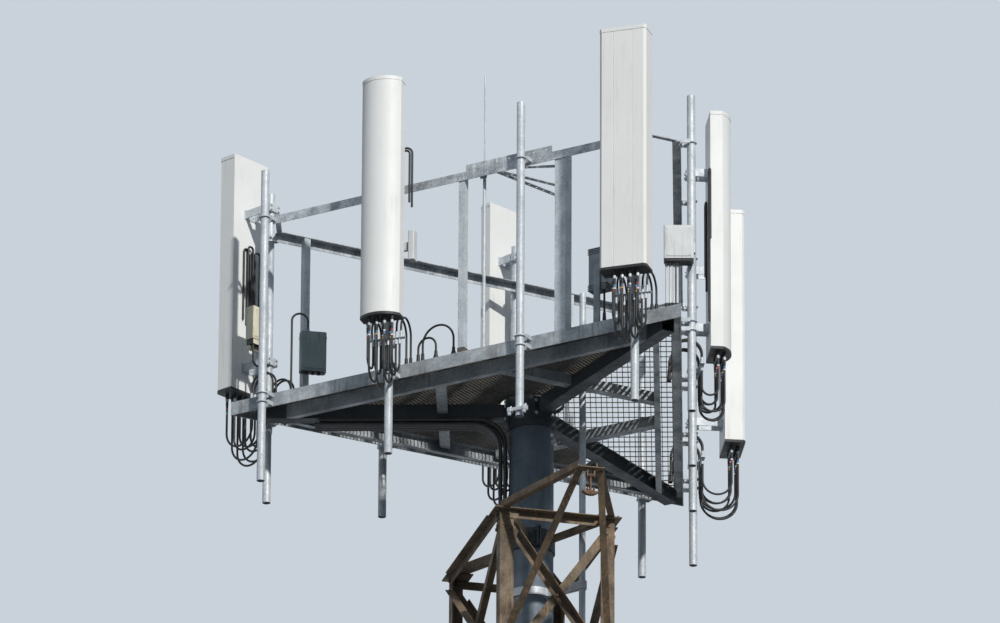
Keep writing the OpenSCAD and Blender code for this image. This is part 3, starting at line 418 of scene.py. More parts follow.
class Weathering:
    """The node groups that the finishes share."""

    def __init__(self) -> None:
        """Builds each group once."""
        self.blotch = self._blotch()
        self.runs = self._runs()
        self.crystals = self._crystals()
        self.settled = self._settled()

    @staticmethod
    def _blotch() -> Tree:
        """Builds soft patches with a finer grain inside them.

        Returns:
            The group.
        """
        group = MaskGroup("blotch", Scale=8.0, Grain=0.35, Contrast=2.0)
        place, scale = group.given["Vector"], group.given["Scale"]
        fine_scale = group.math("MULTIPLY", scale, 9.0)
        wide = group.noise(place, scale, detail=5.0, roughness=0.62)
        fine = group.noise(place, fine_scale, detail=3.0, roughness=0.7)
        grain = group.math("MULTIPLY", group.math("SUBTRACT", fine, 0.5), group.given["Grain"])
        offset = group.math("ADD", group.math("SUBTRACT", wide, 0.5), grain)
        return group.finish(group.math("MULTIPLY_ADD", offset, group.given["Contrast"], 0.5, clamp=True))

    @staticmethod
    def _runs() -> Tree:
        """Builds upright runs of dirt that water leaves.

        Returns:
            The group.
        """
        group = MaskGroup("runs", Scale=40.0, Stretch=14.0, Amount=0.5)
        place, scale = group.given["Vector"], group.given["Scale"]
        upright = group.math("DIVIDE", scale, group.given["Stretch"])
        squeeze = group.add("ShaderNodeCombineXYZ", {"X": scale, "Y": scale, "Z": upright})
        drawn = group.add("ShaderNodeVectorMath", {0: place, 1: squeeze.outputs[0]}, operation="MULTIPLY")
        lines = group.noise(drawn.outputs[0], 1.0, detail=4.0, roughness=0.55)
        patches = group.noise(place, 3.0, detail=2.0, roughness=0.5)
        joined = group.math(
            "MULTIPLY", group.ramp(lines, low=0.48, high=0.72), group.ramp(patches, low=0.35, high=0.65)
        )
        return group.finish(group.math("MULTIPLY", joined, group.given["Amount"], clamp=True))

    @staticmethod
    def _crystals() -> Tree:
        """Builds zinc crystals, each with its own tone.

        Returns:
            The group.
        """
        group = MaskGroup("crystals", Scale=90.0)
        inputs = {name: group.given[name] for name in ("Vector", "Scale")}
        cells = group.add("ShaderNodeTexVoronoi", inputs)
        return group.finish(group.add("ShaderNodeSeparateColor", {0: cells.outputs["Color"]}).outputs[0])

    @staticmethod
    def _settled() -> Tree:
        """Builds dust on faces that look up, broken into patches.

        Returns:
            The group.
        """
        group = MaskGroup("settled", Scale=12.0, Amount=0.5)
        normal = group.add("ShaderNodeNewGeometry").outputs["Normal"]
        axes = group.add("ShaderNodeSeparateXYZ", {0: normal})
        facing = group.ramp(axes.outputs["Z"], low=0.3, high=0.95)
        cloud = group.noise(group.given["Vector"], group.given["Scale"], detail=4.0, roughness=0.65)
        joined = group.math("MULTIPLY", facing, group.ramp(cloud, low=0.3, high=0.7))
        return group.finish(group.math("MULTIPLY", joined, group.given["Amount"], clamp=True))


# Finishes


def srgb(text: str) -> tuple[float, float, float, float]:
    """Turns a written colour such as "#8894a0" into linear light.

    Args:
        text: Six hexadecimal digits after a #.

    Returns:
        Red, green, blue and alpha for a shader socket.
    """
    parts = [int(text[i : i + 2], 16) / 255 for i in (1, 3, 5)]
    linear = [p / 12.92 if p <= 0.04045 else ((p + 0.055) / 1.055) ** 2.4 for p in parts]
    return (*linear, 1.0)


@dataclass(frozen=True)
class Finish:
    """One finish: two base tones, their patches, runs, dust and gloss."""

    name: str
    tone: str
    deep: str
    stain: str
    patch_scale: float = 8.0
    grain: float = 0.35
    contrast: float = 1.8
    runs: float = 0.4
    run_scale: float = 40.0
    dust: float = 0.0
    dust_tone: str = "#9a9284"
    crystals: float = 0.0
    crystal_scale: float = 95.0
    roughness: Pair = (0.45, 0.65)
    metallic: float = 0.0
    relief: float = 0.0006
    relief_scale: float = 120.0
    relief_strength: float = 0.6
    specular: float = 0.5

    def build(self, kit: Weathering) -> Material:
        """Makes the material.

        Args:
            kit: The shared node groups.

        Returns:
            The material with its nodes.
        """
        material = bpy.data.materials.new(self.name)
        material.use_nodes = True
        tree = NodeTree(material.node_tree)
        place = tree.add("ShaderNodeTexCoord").outputs["Object"]
        blotch = tree.mask(
            kit.blotch, place, Scale=self.patch_scale, Grain=self.grain, Contrast=self.contrast
        )
        colour = tree.mix(blotch, srgb(self.tone), srgb(self.deep))
        if self.crystals:
            cells = tree.mask(kit.crystals, place, Scale=self.crystal_scale)
            shade = tree.ramp(cells, 0.0, 1.0, 1 - self.crystals, 1 + self.crystals)
            grey = tree.add("ShaderNodeCombineColor", {channel: shade for channel in range(3)})
            colour = tree.mix(1.0, colour, grey.outputs[0], "MULTIPLY")
        runs = tree.mask(kit.runs, place, Scale=self.run_scale, Amount=self.runs)
        colour = tree.mix(runs, colour, srgb(self.stain))
        if self.dust:
            dust = tree.mask(kit.settled, place, Amount=self.dust)
            colour = tree.mix(dust, colour, srgb(self.dust_tone))
        height = tree.noise(place, self.relief_scale)
        bump = tree.add("ShaderNodeBump", {
            "Strength": self.relief_strength, "Distance": self.relief, "Height": height,
        })
        tree.feed(tree.tree.nodes["Principled BSDF"], {
            "Base Color": colour, "Roughness": tree.ramp(blotch, 0.0, 1.0, *self.roughness),
            "Metallic": self.metallic, "Specular IOR Level": self.specular,
            "Normal": bump.outputs["Normal"],
        })
        return material


FINISHES = {
    "galvanized": Finish(
        "weathered_zinc", "#d8dde1", "#b0b8bf", "#7d7a72", patch_scale=7.0, runs=0.45, run_scale=55.0,
        dust=0.30, dust_tone="#a19c90", crystals=0.10, roughness=(0.42, 0.62), metallic=0.15,
    ),
    # Darker zinc for the deck's frame and joists: painted shade of the deck's underside, with heavier runs
    # and dust
    "shaded_deck_zinc": Finish(
        "shaded_deck_zinc", "#c3c8cb", "#7b8288", "#4f4a42", patch_scale=5.0, runs=0.65, run_scale=45.0, dust=0.45,
        dust_tone="#8f897c", crystals=0.08, roughness=(0.48, 0.7), metallic=0.15, contrast=2.6,
    ),
    "rail_zinc": Finish(
        "rail_zinc", "#d3d8dc", "#858d94", "#5d5a54", patch_scale=9.0, grain=0.5, runs=0.55, run_scale=70.0,
        dust=0.35, dust_tone="#a19c90", crystals=0.10, roughness=(0.42, 0.66), metallic=0.15, contrast=2.8,
    ),
    "pole_grey": Finish(
        "pole_paint", "#76828e", "#56626d", "#3c4044", patch_scale=2.5, runs=0.55, run_scale=26.0,
        roughness=(0.5, 0.7), metallic=0.1, contrast=2.2,
    ),
    "lattice_brown": Finish(
        "lattice_brown", "#7a6850", "#3f372f", "#b4875c", patch_scale=5.0, runs=0.6, run_scale=60.0,
        dust=0.25, dust_tone="#857660", roughness=(0.6, 0.85), contrast=2.6, relief=0.0010,
    ),
    "dark_steel": Finish(
        "dark_steel", "#3d4348", "#282c30", "#4a3e32", patch_scale=6.0, runs=0.4,
        dust=0.3, roughness=(0.5, 0.75), metallic=0.15, contrast=2.0,
    ),
    "rusty_iron": Finish(
        "rusty_iron", "#7d5c46", "#453831", "#a98260", patch_scale=22.0, runs=0.4, run_scale=90.0,
        roughness=(0.75, 0.95), contrast=3.0, relief=0.0012, relief_scale=220.0,
    ),
    "grating_steel": Finish(
        "grating_steel", "#6e6a62", "#45423d", "#745a44", patch_scale=4.0, runs=0.2,
        dust=0.4, dust_tone="#858078", roughness=(0.6, 0.85), metallic=0.15, contrast=2.2,
    ),
    "radome": Finish(
        "radome_shell", "#f4f5f3", "#e8e9e6", "#bbb7ac", patch_scale=1.6, grain=0.2, runs=0.25,
        run_scale=34.0, dust=0.3, dust_tone="#c6c4ba", roughness=(0.42, 0.58), contrast=1.4,
        relief=0.0002, relief_scale=60.0,
    ),
    "cable_black": Finish(
        "cable_jacket", "#1c1d1f", "#111214", "#3b3a38", patch_scale=14.0, runs=0.3,
        dust=0.25, dust_tone="#4b4842", roughness=(0.38, 0.6), relief=0.0002,
    ),
    "black_plastic": Finish(
        "black_plastic", "#232427", "#161719", "#44423e", patch_scale=10.0, runs=0.3,
        dust=0.3, dust_tone="#55514a", roughness=(0.45, 0.65), relief=0.0003,
    ),
    "box_cream": Finish(
        "cream_plastic", "#ece6d0", "#dad2b6", "#8d8264", patch_scale=9.0, runs=0.5, run_scale=70.0,
        dust=0.35, dust_tone="#a89f84", roughness=(0.42, 0.6), contrast=1.6, relief=0.0002,
    ),
    "box_green_grey": Finish(
        "green_grey_coat", "#93a0a0", "#7c8b8e", "#3a3f3a", patch_scale=7.0, runs=0.5, run_scale=60.0,
        dust=0.35, dust_tone="#7d8077", roughness=(0.45, 0.62), contrast=1.8, relief=0.0003,
    ),
    "box_white": Finish(
        "white_plastic", "#e3e5e6", "#cfd2d4", "#9a9890", patch_scale=9.0, runs=0.45, run_scale=70.0,
        dust=0.3, dust_tone="#aaa79c", roughness=(0.4, 0.58), contrast=1.4, relief=0.0002,
    ),
    "finned_aluminium": Finish(
        "finned_aluminium", "#7b8287", "#5f666b", "#494744", patch_scale=12.0, runs=0.4, run_scale=80.0,
        dust=0.35, dust_tone="#85827a", roughness=(0.4, 0.6), metallic=0.4, relief=0.0003,
    ),
}

# Nodes whose steel has weathered more than the rest of its slot; the deck's frame and joists take a darker
# zinc that also paints the shade under the deck
WEATHERED_AND_SHADED = {
    "deck_frame": "shaded_deck_zinc", "deck_joists": "shaded_deck_zinc",
    "handrail": "rail_zinc", "rail_splice": "rail_zinc", "rail_arms": "rail_zinc",
}

# Colour of each tape, and for each of its bands the cable's number and the band's place
TAPES = {
    "tape_white": ("#dcdde0", ((0, 0), (1, 1), (2, 0), (4, 1), (5, 0), (6, 0), (7, 2))),
    "tape_red": ("#b8322c", ((0, 1), (2, 1), (4, 0), (6, 1), (7, 0))),
    "tape_blue": ("#3f86b4", ((1, 0), (2, 2), (3, 0), (5, 1), (7, 1))),
    "tape_yellow": ("#d2a53a", ((3, 1), (4, 2), (6, 2))),
}
TAPE_STAIN = "#3b3a38"


# Modelling helpers


class Bench:
    """Operator steps that every sub-assembly uses."""

    @staticmethod
    def clear() -> None:
        """Leaves nothing selected."""
        bpy.ops.object.select_all(action="DESELECT")

    @staticmethod
    def pick(*pieces: Piece) -> None:
        """Selects pieces and makes the first one active.

        Args:
            *pieces: The pieces.
        """
        Bench.clear()
        for piece in pieces:
            piece.select_set(True)
        bpy.context.view_layer.objects.active = pieces[0]

    @staticmethod
    def settle(piece: Piece) -> None:
        """Puts a piece's place into its mesh."""
        Bench.pick(piece)
        bpy.ops.object.transform_apply(location=True, rotation=True, scale=True)

    @staticmethod
    def apply(piece: Piece, modifier: bpy.types.Modifier) -> None:
        """Applies a modifier of a piece."""
        Bench.pick(piece)
        bpy.ops.object.modifier_apply(modifier=modifier.name)

    @staticmethod
    def put(piece: Piece, place: Matrix) -> Piece:
        """Moves a piece's mesh to a place and returns the piece."""
        piece.data.transform(place)
        return piece

    @staticmethod
    def join(name: str, pieces: Sequence[Piece]) -> Piece:
        """Joins pieces into one.

        Args:
            name: Name of the joined piece.
            pieces: What is joined.

        Returns:
            The joined piece.
        """
        Bench.pick(*pieces)
        if len(pieces) > 1:
            bpy.ops.object.join()
        pieces[0].name = name
        pieces[0].data.name = name
        return pieces[0]

    @staticmethod
    def repeat(name: str, model: Piece, places: Iterable[Matrix]) -> Piece:
        """Copies a model to places, each with its own mesh, and joins them.

        Args:
            name: Name of the joined piece.
            model: The piece that is copied. It is removed at the end.
            places: One matrix per copy.

        Returns:
            The joined piece.
        """
        copies = []
        for place in places:
            copy = model.copy()
            copy.data = model.data.copy()
            bpy.context.scene.collection.objects.link(copy)
            copies.append(Bench.put(copy, place))
        bpy.data.objects.remove(model)
        return Bench.join(name, copies)

    @staticmethod
    def dress(piece: Piece, material: Material, slot: str, body: str = "tower") -> None:
        """Gives a piece its looks and hangs it on its body.

        Args:
            piece: The piece.
            material: Its material.
            slot: Its record slot; not used.
            body: The body that it rides on.
        """
        piece.data.materials.clear()
        piece.data.materials.append(material)
        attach(piece, body)


@dataclass(frozen=True)
class Block:
    """A box, its edges rounded where it has a bevel."""

    size: Triple
    centre: Triple = (0.0, 0.0, 0.0)
    bevel: float = 0.0

    def make(self, name: str) -> Piece:
        """Models the box.

        Args:
            name: Name of the piece.

        Returns:
            The new piece.
        """
        Bench.clear()
        bpy.ops.mesh.primitive_cube_add(size=1.0, location=self.centre)
        piece = bpy.context.object
        piece.name = name
        piece.scale = self.size
        Bench.settle(piece)
        if self.bevel:
            bpy.ops.object.mode_set(mode="EDIT")
            bpy.ops.mesh.select_all(action="SELECT")
            bpy.ops.mesh.bevel(offset=self.bevel, segments=2, profile=0.5)
            bpy.ops.object.mode_set(mode="OBJECT")
        return piece


@dataclass(frozen=True)
class Prism:
    """An upright prism on Z, its upper rim chamfered where it has a bevel."""

    radius: float
    height: float
    base: float
    sides: int
    bevel: float = 0.0

    def make(self, name: str) -> Piece:
        """Models the prism.

        Args:
            name: Name of the piece.

        Returns:
            The new piece.
        """
        Bench.clear()
        bpy.ops.mesh.primitive_cylinder_add(
            vertices=self.sides, radius=self.radius, depth=self.height,
            location=(0, 0, self.base + self.height / 2),
        )
        piece = bpy.context.object
        piece.name = name
        Bench.settle(piece)
        if self.bevel:
            bpy.ops.object.mode_set(mode="EDIT")
            bpy.ops.mesh.select_all(action="DESELECT")
            bpy.ops.object.mode_set(mode="OBJECT")
            for face in piece.data.polygons:
                face.select = face.normal.z > FACING_UP
            bpy.ops.object.mode_set(mode="EDIT")
            bpy.ops.mesh.bevel(offset=self.bevel, segments=1)
            bpy.ops.object.mode_set(mode="OBJECT")
        return piece


# Sub-assemblies


@dataclass(frozen=True)
class Grating:
    """Bar grating of one face of the deck.

    Its bars lie along the face or across it, and thin rods cross them.
    """

    k: int
    name: str
    along: bool
    cross_pitch: float = 0.030
    long_pitch: float = 0.040
    rod_pitch: float = 0.100
    bar_t: float = 0.005
    rod: float = 0.006
    rod_sink: float = 0.001
    edge: float = 0.006
    low: float = DECK.deck_z + DECK.ledge_z + DECK.seat
    base: float = -DECK.face_in + DECK.rail_t + DECK.grating_clear
    apex: float = -2 * DECK.grating_clear
    hole_r: float = DECK.pole_r + 0.070
    hole_sides: int = 48
    riser_sides: int = 32
    edge_stop: float = 1.1

    @property
    def middle(self) -> float:
        """Height of the panel's middle."""
        return self.low + DECK.grating_h / 2

    @property
    def half(self) -> float:
        """Half of the panel's long side."""
        return (self.apex - self.base) * math.sqrt(3)

    def build(self) -> Piece:
        """Makes the panel.

        Returns:
            The panel in its place.
        """
        pitch = self.long_pitch if self.along else self.cross_pitch
        rod_z = self.low + DECK.grating_h - self.rod / 2 - self.rod_sink
        bars = self._row((self.bar_t, DECK.grating_h), pitch, self.middle, self.along)
        rods = self._row((self.rod, self.rod), self.rod_pitch, rod_z, not self.along)
        panel = Bench.join(self.name, [bars, rods])
        self._cut(panel, self._drill(self.hole_r, self.hole_sides))
        panel = Bench.join(self.name, [panel, self._collar()])
        for sign in BOTH:
            self._trim(panel, Vector((sign * 0.5, math.sqrt(3) / 2, 0)))
        panel = Bench.join(self.name, [panel, *self._edges()])
        for cutter in self._cutters():
            self._cut(panel, cutter)
        return Bench.put(panel, DECK.face(self.k))

    def _row(self, section: Pair, pitch: float, z: float, along: bool) -> Piece:
        """Makes a row of bars or rods.

        Args:
            section: Thickness and height of one.
            pitch: Distance from one to the next.
            z: Height of their middle.
            along: Whether they lie along the face, and not across it.

        Returns:
            The row.
        """
        if along:
            size, start = (2 * self.half, *section), (0, self.base + pitch / 2, z)
            step, count = (0, pitch, 0), int((self.apex - self.base) / pitch)
        else:
            reach = int(self.half // pitch)
            size = (section[0], self.apex - self.base, section[1])
            start = (-reach * pitch, (self.base + self.apex) / 2, z)
            step, count = (pitch, 0, 0), 2 * reach + 1
        piece = Block(size, start).make("row")
        row = piece.modifiers.new("row", "ARRAY")
        row.use_relative_offset = False
        row.use_constant_offset = True
        row.constant_offset_displace = step
        row.count = count
        Bench.apply(piece, row)
        return piece

    @staticmethod
    def _cut(panel: Piece, cutter: Piece) -> None:
        """Takes a cutter's shape out of a panel and removes the cutter.

        Args:
            panel: The panel.
            cutter: A closed piece.
        """
        cut = panel.modifiers.new("opening", "BOOLEAN")
        cut.operation = "DIFFERENCE"
        cut.solver = "EXACT"
        cut.object = cutter
        Bench.apply(panel, cut)
        bpy.data.objects.remove(cutter)

    def _drill(self, radius: float, sides: int) -> Piece:
        """Makes a round cutter on the pole's axis, much higher than the panel."""
        height = 4 * DECK.grating_h
        return Prism(radius, height, self.middle - height / 2, sides).make("drill")

    def _cutters(self) -> list[Piece]:
        """Makes the shapes of the posts and the riser that pass through the panel.

        Returns:
            The cutters in their places.
        """
        cutters = []
        for post in POSTS:
            if post.face == self.k:
                width = post.width + 2 * DECK.grating_clear
                spot = (post.along - DECK.side / 2, post.inset - DECK.face_in, self.middle)
                cutters.append(Block((width, width, 4 * DECK.grating_h), spot).make("post_hole"))
        spot = DECK.face(self.k).inverted() @ Vector((*DECK.riser, 0))
        riser = self._drill(DECK.riser_hole, self.riser_sides)
        return [*cutters, Bench.put(riser, moved(spot.x, spot.y, 0))]

    def _collar(self) -> Piece:
        """Makes the band that lines the opening for the pole.

        Returns:
            The band.
        """
        Bench.clear()
        bpy.ops.mesh.primitive_cylinder_add(
            vertices=self.hole_sides, radius=self.hole_r, depth=DECK.grating_h,
            location=(0, 0, self.middle), end_fill_type="NOTHING",
        )
        band = bpy.context.object
        Bench.settle(band)
        wall = band.modifiers.new("wall", "SOLIDIFY")
        wall.thickness = self.edge
        wall.offset = 1.0
        Bench.apply(band, wall)
        return band

    def _trim(self, panel: Piece, normal: Vector) -> None:
        """Cuts off what lies beyond a plane through the apex and closes the cut bars.

        Args:
            panel: The panel.
            normal: The plane's normal.
        """
        Bench.pick(panel)
        bpy.ops.object.mode_set(mode="EDIT")
        bpy.ops.mesh.select_all(action="SELECT")
        bpy.ops.mesh.bisect(
            plane_co=(0, self.apex, self.middle), plane_no=normal, use_fill=True, clear_outer=True
        )
        bpy.ops.object.mode_set(mode="OBJECT")

    def _edges(self) -> list[Piece]:
        """Makes the flat bars along the panel's three sides.

        Returns:
            The long bar and the two that end at the opening.
        """
        size = (2 * self.half, self.edge, DECK.grating_h)
        bars = [Block(size, (0, self.base + self.edge / 2, self.middle)).make("edge_long")]
        reach, stop = (self.apex - self.base) * 2, self.hole_r * self.edge_stop
        for sign in BOTH:
            bar = Block((reach - stop, self.edge, DECK.grating_h)).make("edge_side")
            turn = turned(-sign * 30)
            along = turn @ Vector((sign * (reach + stop) / 2, -self.edge / 2, 0))
            bars.append(Bench.put(bar, moved(along.x, self.apex + along.y, self.middle) @ turn))
        return bars


@dataclass(frozen=True)
class HexBolt:
    """A bolt head or nut on its washer, modelled once and copied."""

    radius: float
    height: float
    washer: float = 0.003
    washer_ratio: float = 1.22
    washer_sides: int = 14
    chamfer_ratio: float = 0.14

    def model(self) -> Piece:
        """Makes the head over its washer.

        Returns:
            The bolt, standing on Z = 0.
        """
        washer = Prism(self.radius * self.washer_ratio, self.washer, 0.0, self.washer_sides)
        head = Prism(self.radius, self.height, self.washer, 6, self.height * self.chamfer_ratio)
        return Bench.join("hex_bolt", [washer.make("washer"), head.make("head")])


@dataclass(frozen=True)
class LatticeBolts:
    """Bolts where the lattice's bars meet its legs and each other."""

    bolt: HexBolt = HexBolt(0.0139, 0.010)
    pitch: float = 0.032
    spin_step: int = 37

    def build(self) -> Piece:
        """Makes every bolt head and nut of the lattice."""
        places = [LATTICE.turn @ place for side in range(4) for place in self._side(side)]
        return Bench.repeat("lattice_bolts", self.bolt.model(), places)

    def _side(self, side: int) -> list[Matrix]:
        """Finds the places on one side of the lattice.

        Args:
            side: Number of the side.

        Returns:
            One matrix per head or nut, before the lattice's turn.
        """
        plan = LATTICE
        found: list[Matrix] = []
        upright = plan.normal(side, plan.base_height, plan.height)
        slanted = plan.normal(side, 0.0, plan.base_height)
        levels = [(plan.height - plan.brace_w / 2, upright)]
        for i in range(plan.cage_bays):
            first, last = i == 0, i == plan.cage_bays - 1
            top = plan.cage_level(i) - plan.node_gap - first * plan.end_shift
            bottom = plan.cage_level(i + 1) + plan.node_gap + last * plan.end_shift
            found += self._cross(side, top, bottom, upright)
            levels.append((plan.cage_level(i + 1) + last * plan.end_shift, upright))
        for i in range(plan.base_bays):
            last = i == plan.base_bays - 1
            bottom = plan.base_level(i + 1) + (plan.foot_gap if last else plan.node_gap)
            found += self._cross(side, plan.base_level(i) - plan.node_gap, bottom, slanted)
        levels += [(plan.base_level(i), slanted) for i in range(1, plan.base_bays)]
        for (z, normal), end in product(levels, (0, 1)):
            found += self._pair(plan.gauge_point(side, end, z), normal, plan.brace_t, plan.leg_t)
        return found

    def _cross(self, side: int, top: float, bottom: float, normal: Vector) -> list[Matrix]:
        """Finds the places at the ends and the middle of two crossing bars.

        Args:
            side: Number of the side.
            top: Height of the bars' upper ends.
            bottom: Height of their lower ends.
            normal: The side's normal.

        Returns:
            One matrix per head or nut.
        """
        plan = LATTICE
        a, b, c, d = (plan.gauge_point(side, end, z) for z in (top, bottom) for end in (0, 1))
        found: list[Matrix] = []
        for start, stop, outside in ((a, d, True), (b, c, False)):
            step = self.pitch * (stop - start).normalized()
            front = plan.brace_t if outside else 0.0
            back = plan.leg_t + plan.brace_t - front
            for point in (start, start + step, stop, stop - step):
                found += self._pair(point, normal, front, back)
        share = (b - a).length / ((b - a).length + (d - c).length)
        return found + self._pair(a + share * (d - a), normal, plan.brace_t, plan.leg_t + plan.brace_t)

    def _pair(self, point: Vector, normal: Vector, front: float, back: float) -> list[Matrix]:
        """Stands a head outside a point and a nut inside it."""
        spin = math.radians(self.spin_step * round(point.z * 10) % 60)
        return [stand(point + front * normal, normal, spin), stand(point - back * normal, -normal, spin)]


@dataclass(frozen=True)
class Fasteners:
    """Bolts, nuts and studs of the pole, the feet, the collars and the platform.

    A half is the distance of bolts from their plate's middle, and a spin turns
    each head a little more than the one before.
    """

    large: HexBolt = HexBolt(0.0215, 0.021, 0.004)
    medium: HexBolt = HexBolt(0.0109, 0.009)
    small: HexBolt = HexBolt(0.0085, 0.007, 0.002)
    tiny: HexBolt = HexBolt(0.0062, 0.005, 0.0012)
    stud: Prism = Prism(0.0125, 0.052, 0.0, 20, 0.002)

    # The pole's flange and the four foot plates
    flange_bolts: int = 12
    flange_r: float = 0.280
    flange_t: float = 0.032
    flange_spin: float = math.radians(17)
    foot_t: float = 0.025
    foot_half: float = 0.1152
    foot_spins: Pair = (math.radians(23), math.radians(11))

    # The collar in the lattice's top
    ear: Pair = (0.016, 0.210)
    ear_z: tuple[float, ...] = (0.0005, 0.0755)
    leg_plate_half: float = 0.072
    leg_plate_spin: float = 0.4

    # The plates that carry the deck's arms
    mount_out: float = 0.0263
    mount_half: float = 0.066
    mount_z: tuple[float, ...] = (-0.066, 0.030, 0.066)
    mount_spin: float = 0.3

    # U-bolts of the pipes, brackets of the antennas, and the line clamp
    u_bolt_half: float = 0.03645
    u_bolt_lift: float = 0.016
    u_bolt_spin: float = 9.0
    bracket: Triple = (0.0385, 0.04215, 0.017)
    bracket_spin: float = 5.0
    clamp: Triple = (0.0, -1.690, -0.157)
    clamp_half: Pair = (0.024, 0.012)
    clamp_spin: float = 0.2

    def anchors(self) -> Piece:
        """Makes the nuts and stud ends on the pole's flange and on the four foot plates.

        Returns:
            All of them as one piece.
        """
        places = []
        for i in range(self.flange_bolts):
            radius = (self.flange_r + DECK.pole_r) / 2
            spot = turned(360 / self.flange_bolts * i) @ Vector((radius, 0, self.flange_t))
            places.append(stand(spot, UP, self.flange_spin * i))
        for side, (x, y) in product(range(4), CORNERS):
            middle = LATTICE.plate_middle(side, 0.0, self.foot_t)
            spot = LATTICE.turn @ (middle + self.foot_half * Vector((x, y, 0)))
            places.append(stand(spot, UP, self.foot_spins[0] * side + self.foot_spins[1] * x))
        model = Bench.join("anchor", [self.large.model(), self.stud.make("stud")])
        return Bench.repeat("anchor_nuts", model, places)

    def collar_bolts(self) -> Piece:
        """Makes the bolts through the ears of the top collar and on its leg plates.

        Returns:
            All of them as one piece.
        """
        turn, places = LATTICE.turn, []
        for x, z, y in product(BOTH, self.ear_z, BOTH):
            spot = turn @ Vector((-y * self.ear[0], x * self.ear[1], LATTICE.height + z))
            places.append(stand(spot, turn.to_3x3() @ Vector((-y, 0, 0))))
        for side, (x, y) in product(range(4), CORNERS):
            if (-x, -y) != CORNERS[side]:
                middle = LATTICE.plate_middle(side, LATTICE.height, LATTICE.top_plate_t)
                spot = turn @ (middle + self.leg_plate_half * Vector((x, y, 0)))
                places.append(stand(spot, UP, self.leg_plate_spin * side))
        return Bench.repeat("collar_bolts", self.medium.model(), places)

    def mount_bolts(self) -> Piece:
        """Makes the bolts of the three plates that carry the deck's arms.

        Returns:
            All of them as one piece.
        """
        places = []
        arm_z = DECK.deck_z + DECK.ledge_z - DECK.rail_t - DECK.arm_half
        for k, y, z in product(range(3), BOTH, self.mount_z):
            turn = turned(60 + 120 * k)
            spot = turn @ Vector((DECK.pole_r + self.mount_out, y * self.mount_half, arm_z + z))
            places.append(stand(spot, turn.to_3x3() @ Vector((1, 0, 0)), self.mount_spin * k))
        return Bench.repeat("mount_bolts", self.medium.model(), places)

    def pipe_nuts(self) -> Piece:
        """Makes the nuts of the pipes' U-bolts, inside the deck's rail and the handrail.

        Returns:
            All of them as one piece.
        """
        low = (-DECK.rail_h + self.u_bolt_lift, DECK.rail_t)
        high = (DECK.hand_h - DECK.hand_w / 2, DECK.hand_t)
        places = []
        for k, along, x, (z, wall) in product(range(3), DECK.pipe_t, BOTH, (low, high)):
            spot = DECK.at(k, along + x * self.u_bolt_half, -wall, z).translation
            inward = DECK.face(k).to_3x3() @ Vector((0, 1, 0))
            places.append(stand(spot, inward, self.u_bolt_spin * along))
        return Bench.repeat("pipe_nuts", self.small.model(), places)

    def bracket_bolts(self) -> Piece:
        """Makes the bolts that pull the halves of the antenna brackets together.

        Returns:
            All of them as one piece.
        """
        half_x, half_y, half_z = self.bracket
        places = []
        for antenna, z, x, rise, y in product(ANTENNAS, DECK.bracket_z, BOTH, (-half_z, half_z), BOTH):
            spot = antenna.place @ Vector((x * half_x, y * half_y, z + rise))
            axis = antenna.place.to_3x3() @ Vector((0, y, 0))
            places.append(stand(spot, axis, self.bracket_spin * rise))
        return Bench.repeat("bracket_bolts", self.small.model(), places)

    def clamp_nuts(self) -> Piece:
        """Makes the nuts on the line clamp's U-bolts.

        Returns:
            All of them as one piece.
        """
        base = Vector((0, 0, LATTICE.height)) + Vector(self.clamp)
        half_x, half_y = self.clamp_half
        spots = [base + Vector((x * half_x, y * half_y, 0)) for x, y in product(BOTH, BOTH)]
        places = [stand(LATTICE.turn @ spot, UP, self.clamp_spin) for spot in spots]
        return Bench.repeat("clamp_nuts", self.tiny.model(), places)


@dataclass(frozen=True)
class JumperTrim:
    """Connectors, sleeves and tape bands on the cables under the antennas."""

    per_row: int = 4
    pitch: float = 0.058
    middle: float = 1.75
    row_y: tuple[float, ...] = (-0.058, -0.108)
    base: float = -0.055
    nut: Prism = Prism(0.0125, 0.013, -0.0132, 6, 0.001)
    neck: Prism = Prism(0.0105, 0.010, -0.0225, 20)
    upper: Prism = Prism(0.0102, 0.030, -0.0525, 16)
    lower: Prism = Prism(0.0092, 0.014, -0.0663, 16)
    band: Prism = Prism(0.0089, 0.013, 0.0, 16, 0.0003)
    band_z: float = -0.084
    band_pitch: float = 0.019

    def legs(self) -> list[tuple[int, Matrix]]:
        """Numbers the cables of each antenna.

        Returns:
            Number and upper end of each cable, Z up.
        """
        found = []
        for antenna, i, (row, y) in product(ANTENNAS, range(self.per_row), enumerate(self.row_y)):
            x = (i - self.middle + row / 2) * self.pitch
            found.append((2 * i + row, antenna.place @ moved(x, antenna.back + y, self.base)))
        return found

    def connectors(self) -> Piece:
        """Makes the hexagonal coupling nuts that hold the cables to the sockets."""
        model = Bench.join("connector", [self.nut.make("nut"), self.neck.make("neck")])
        return Bench.repeat("jumper_connectors", model, [place for _, place in self.legs()])

    def sleeves(self) -> Piece:
        """Makes the shrunk sleeves below the connectors, in two steps."""
        model = Bench.join("sleeve", [self.upper.make("upper"), self.lower.make("lower")])
        return Bench.repeat("jumper_sleeves", model, [place for _, place in self.legs()])

    def bands(self, name: str, rows: Sequence[tuple[int, int]]) -> Piece:
        """Makes the tape bands of one colour.

        Args:
            name: Name of the piece.
            rows: Number of a cable and how many bands down its band is.

        Returns:
            The joined bands.
        """
        places = []
        for number, place in self.legs():
            steps = [step for cable, step in rows if cable == number]
            places += [place @ moved(0, 0, self.band_z - self.band_pitch * step) for step in steps]
        return Bench.repeat(name, self.band.make("band"), places)


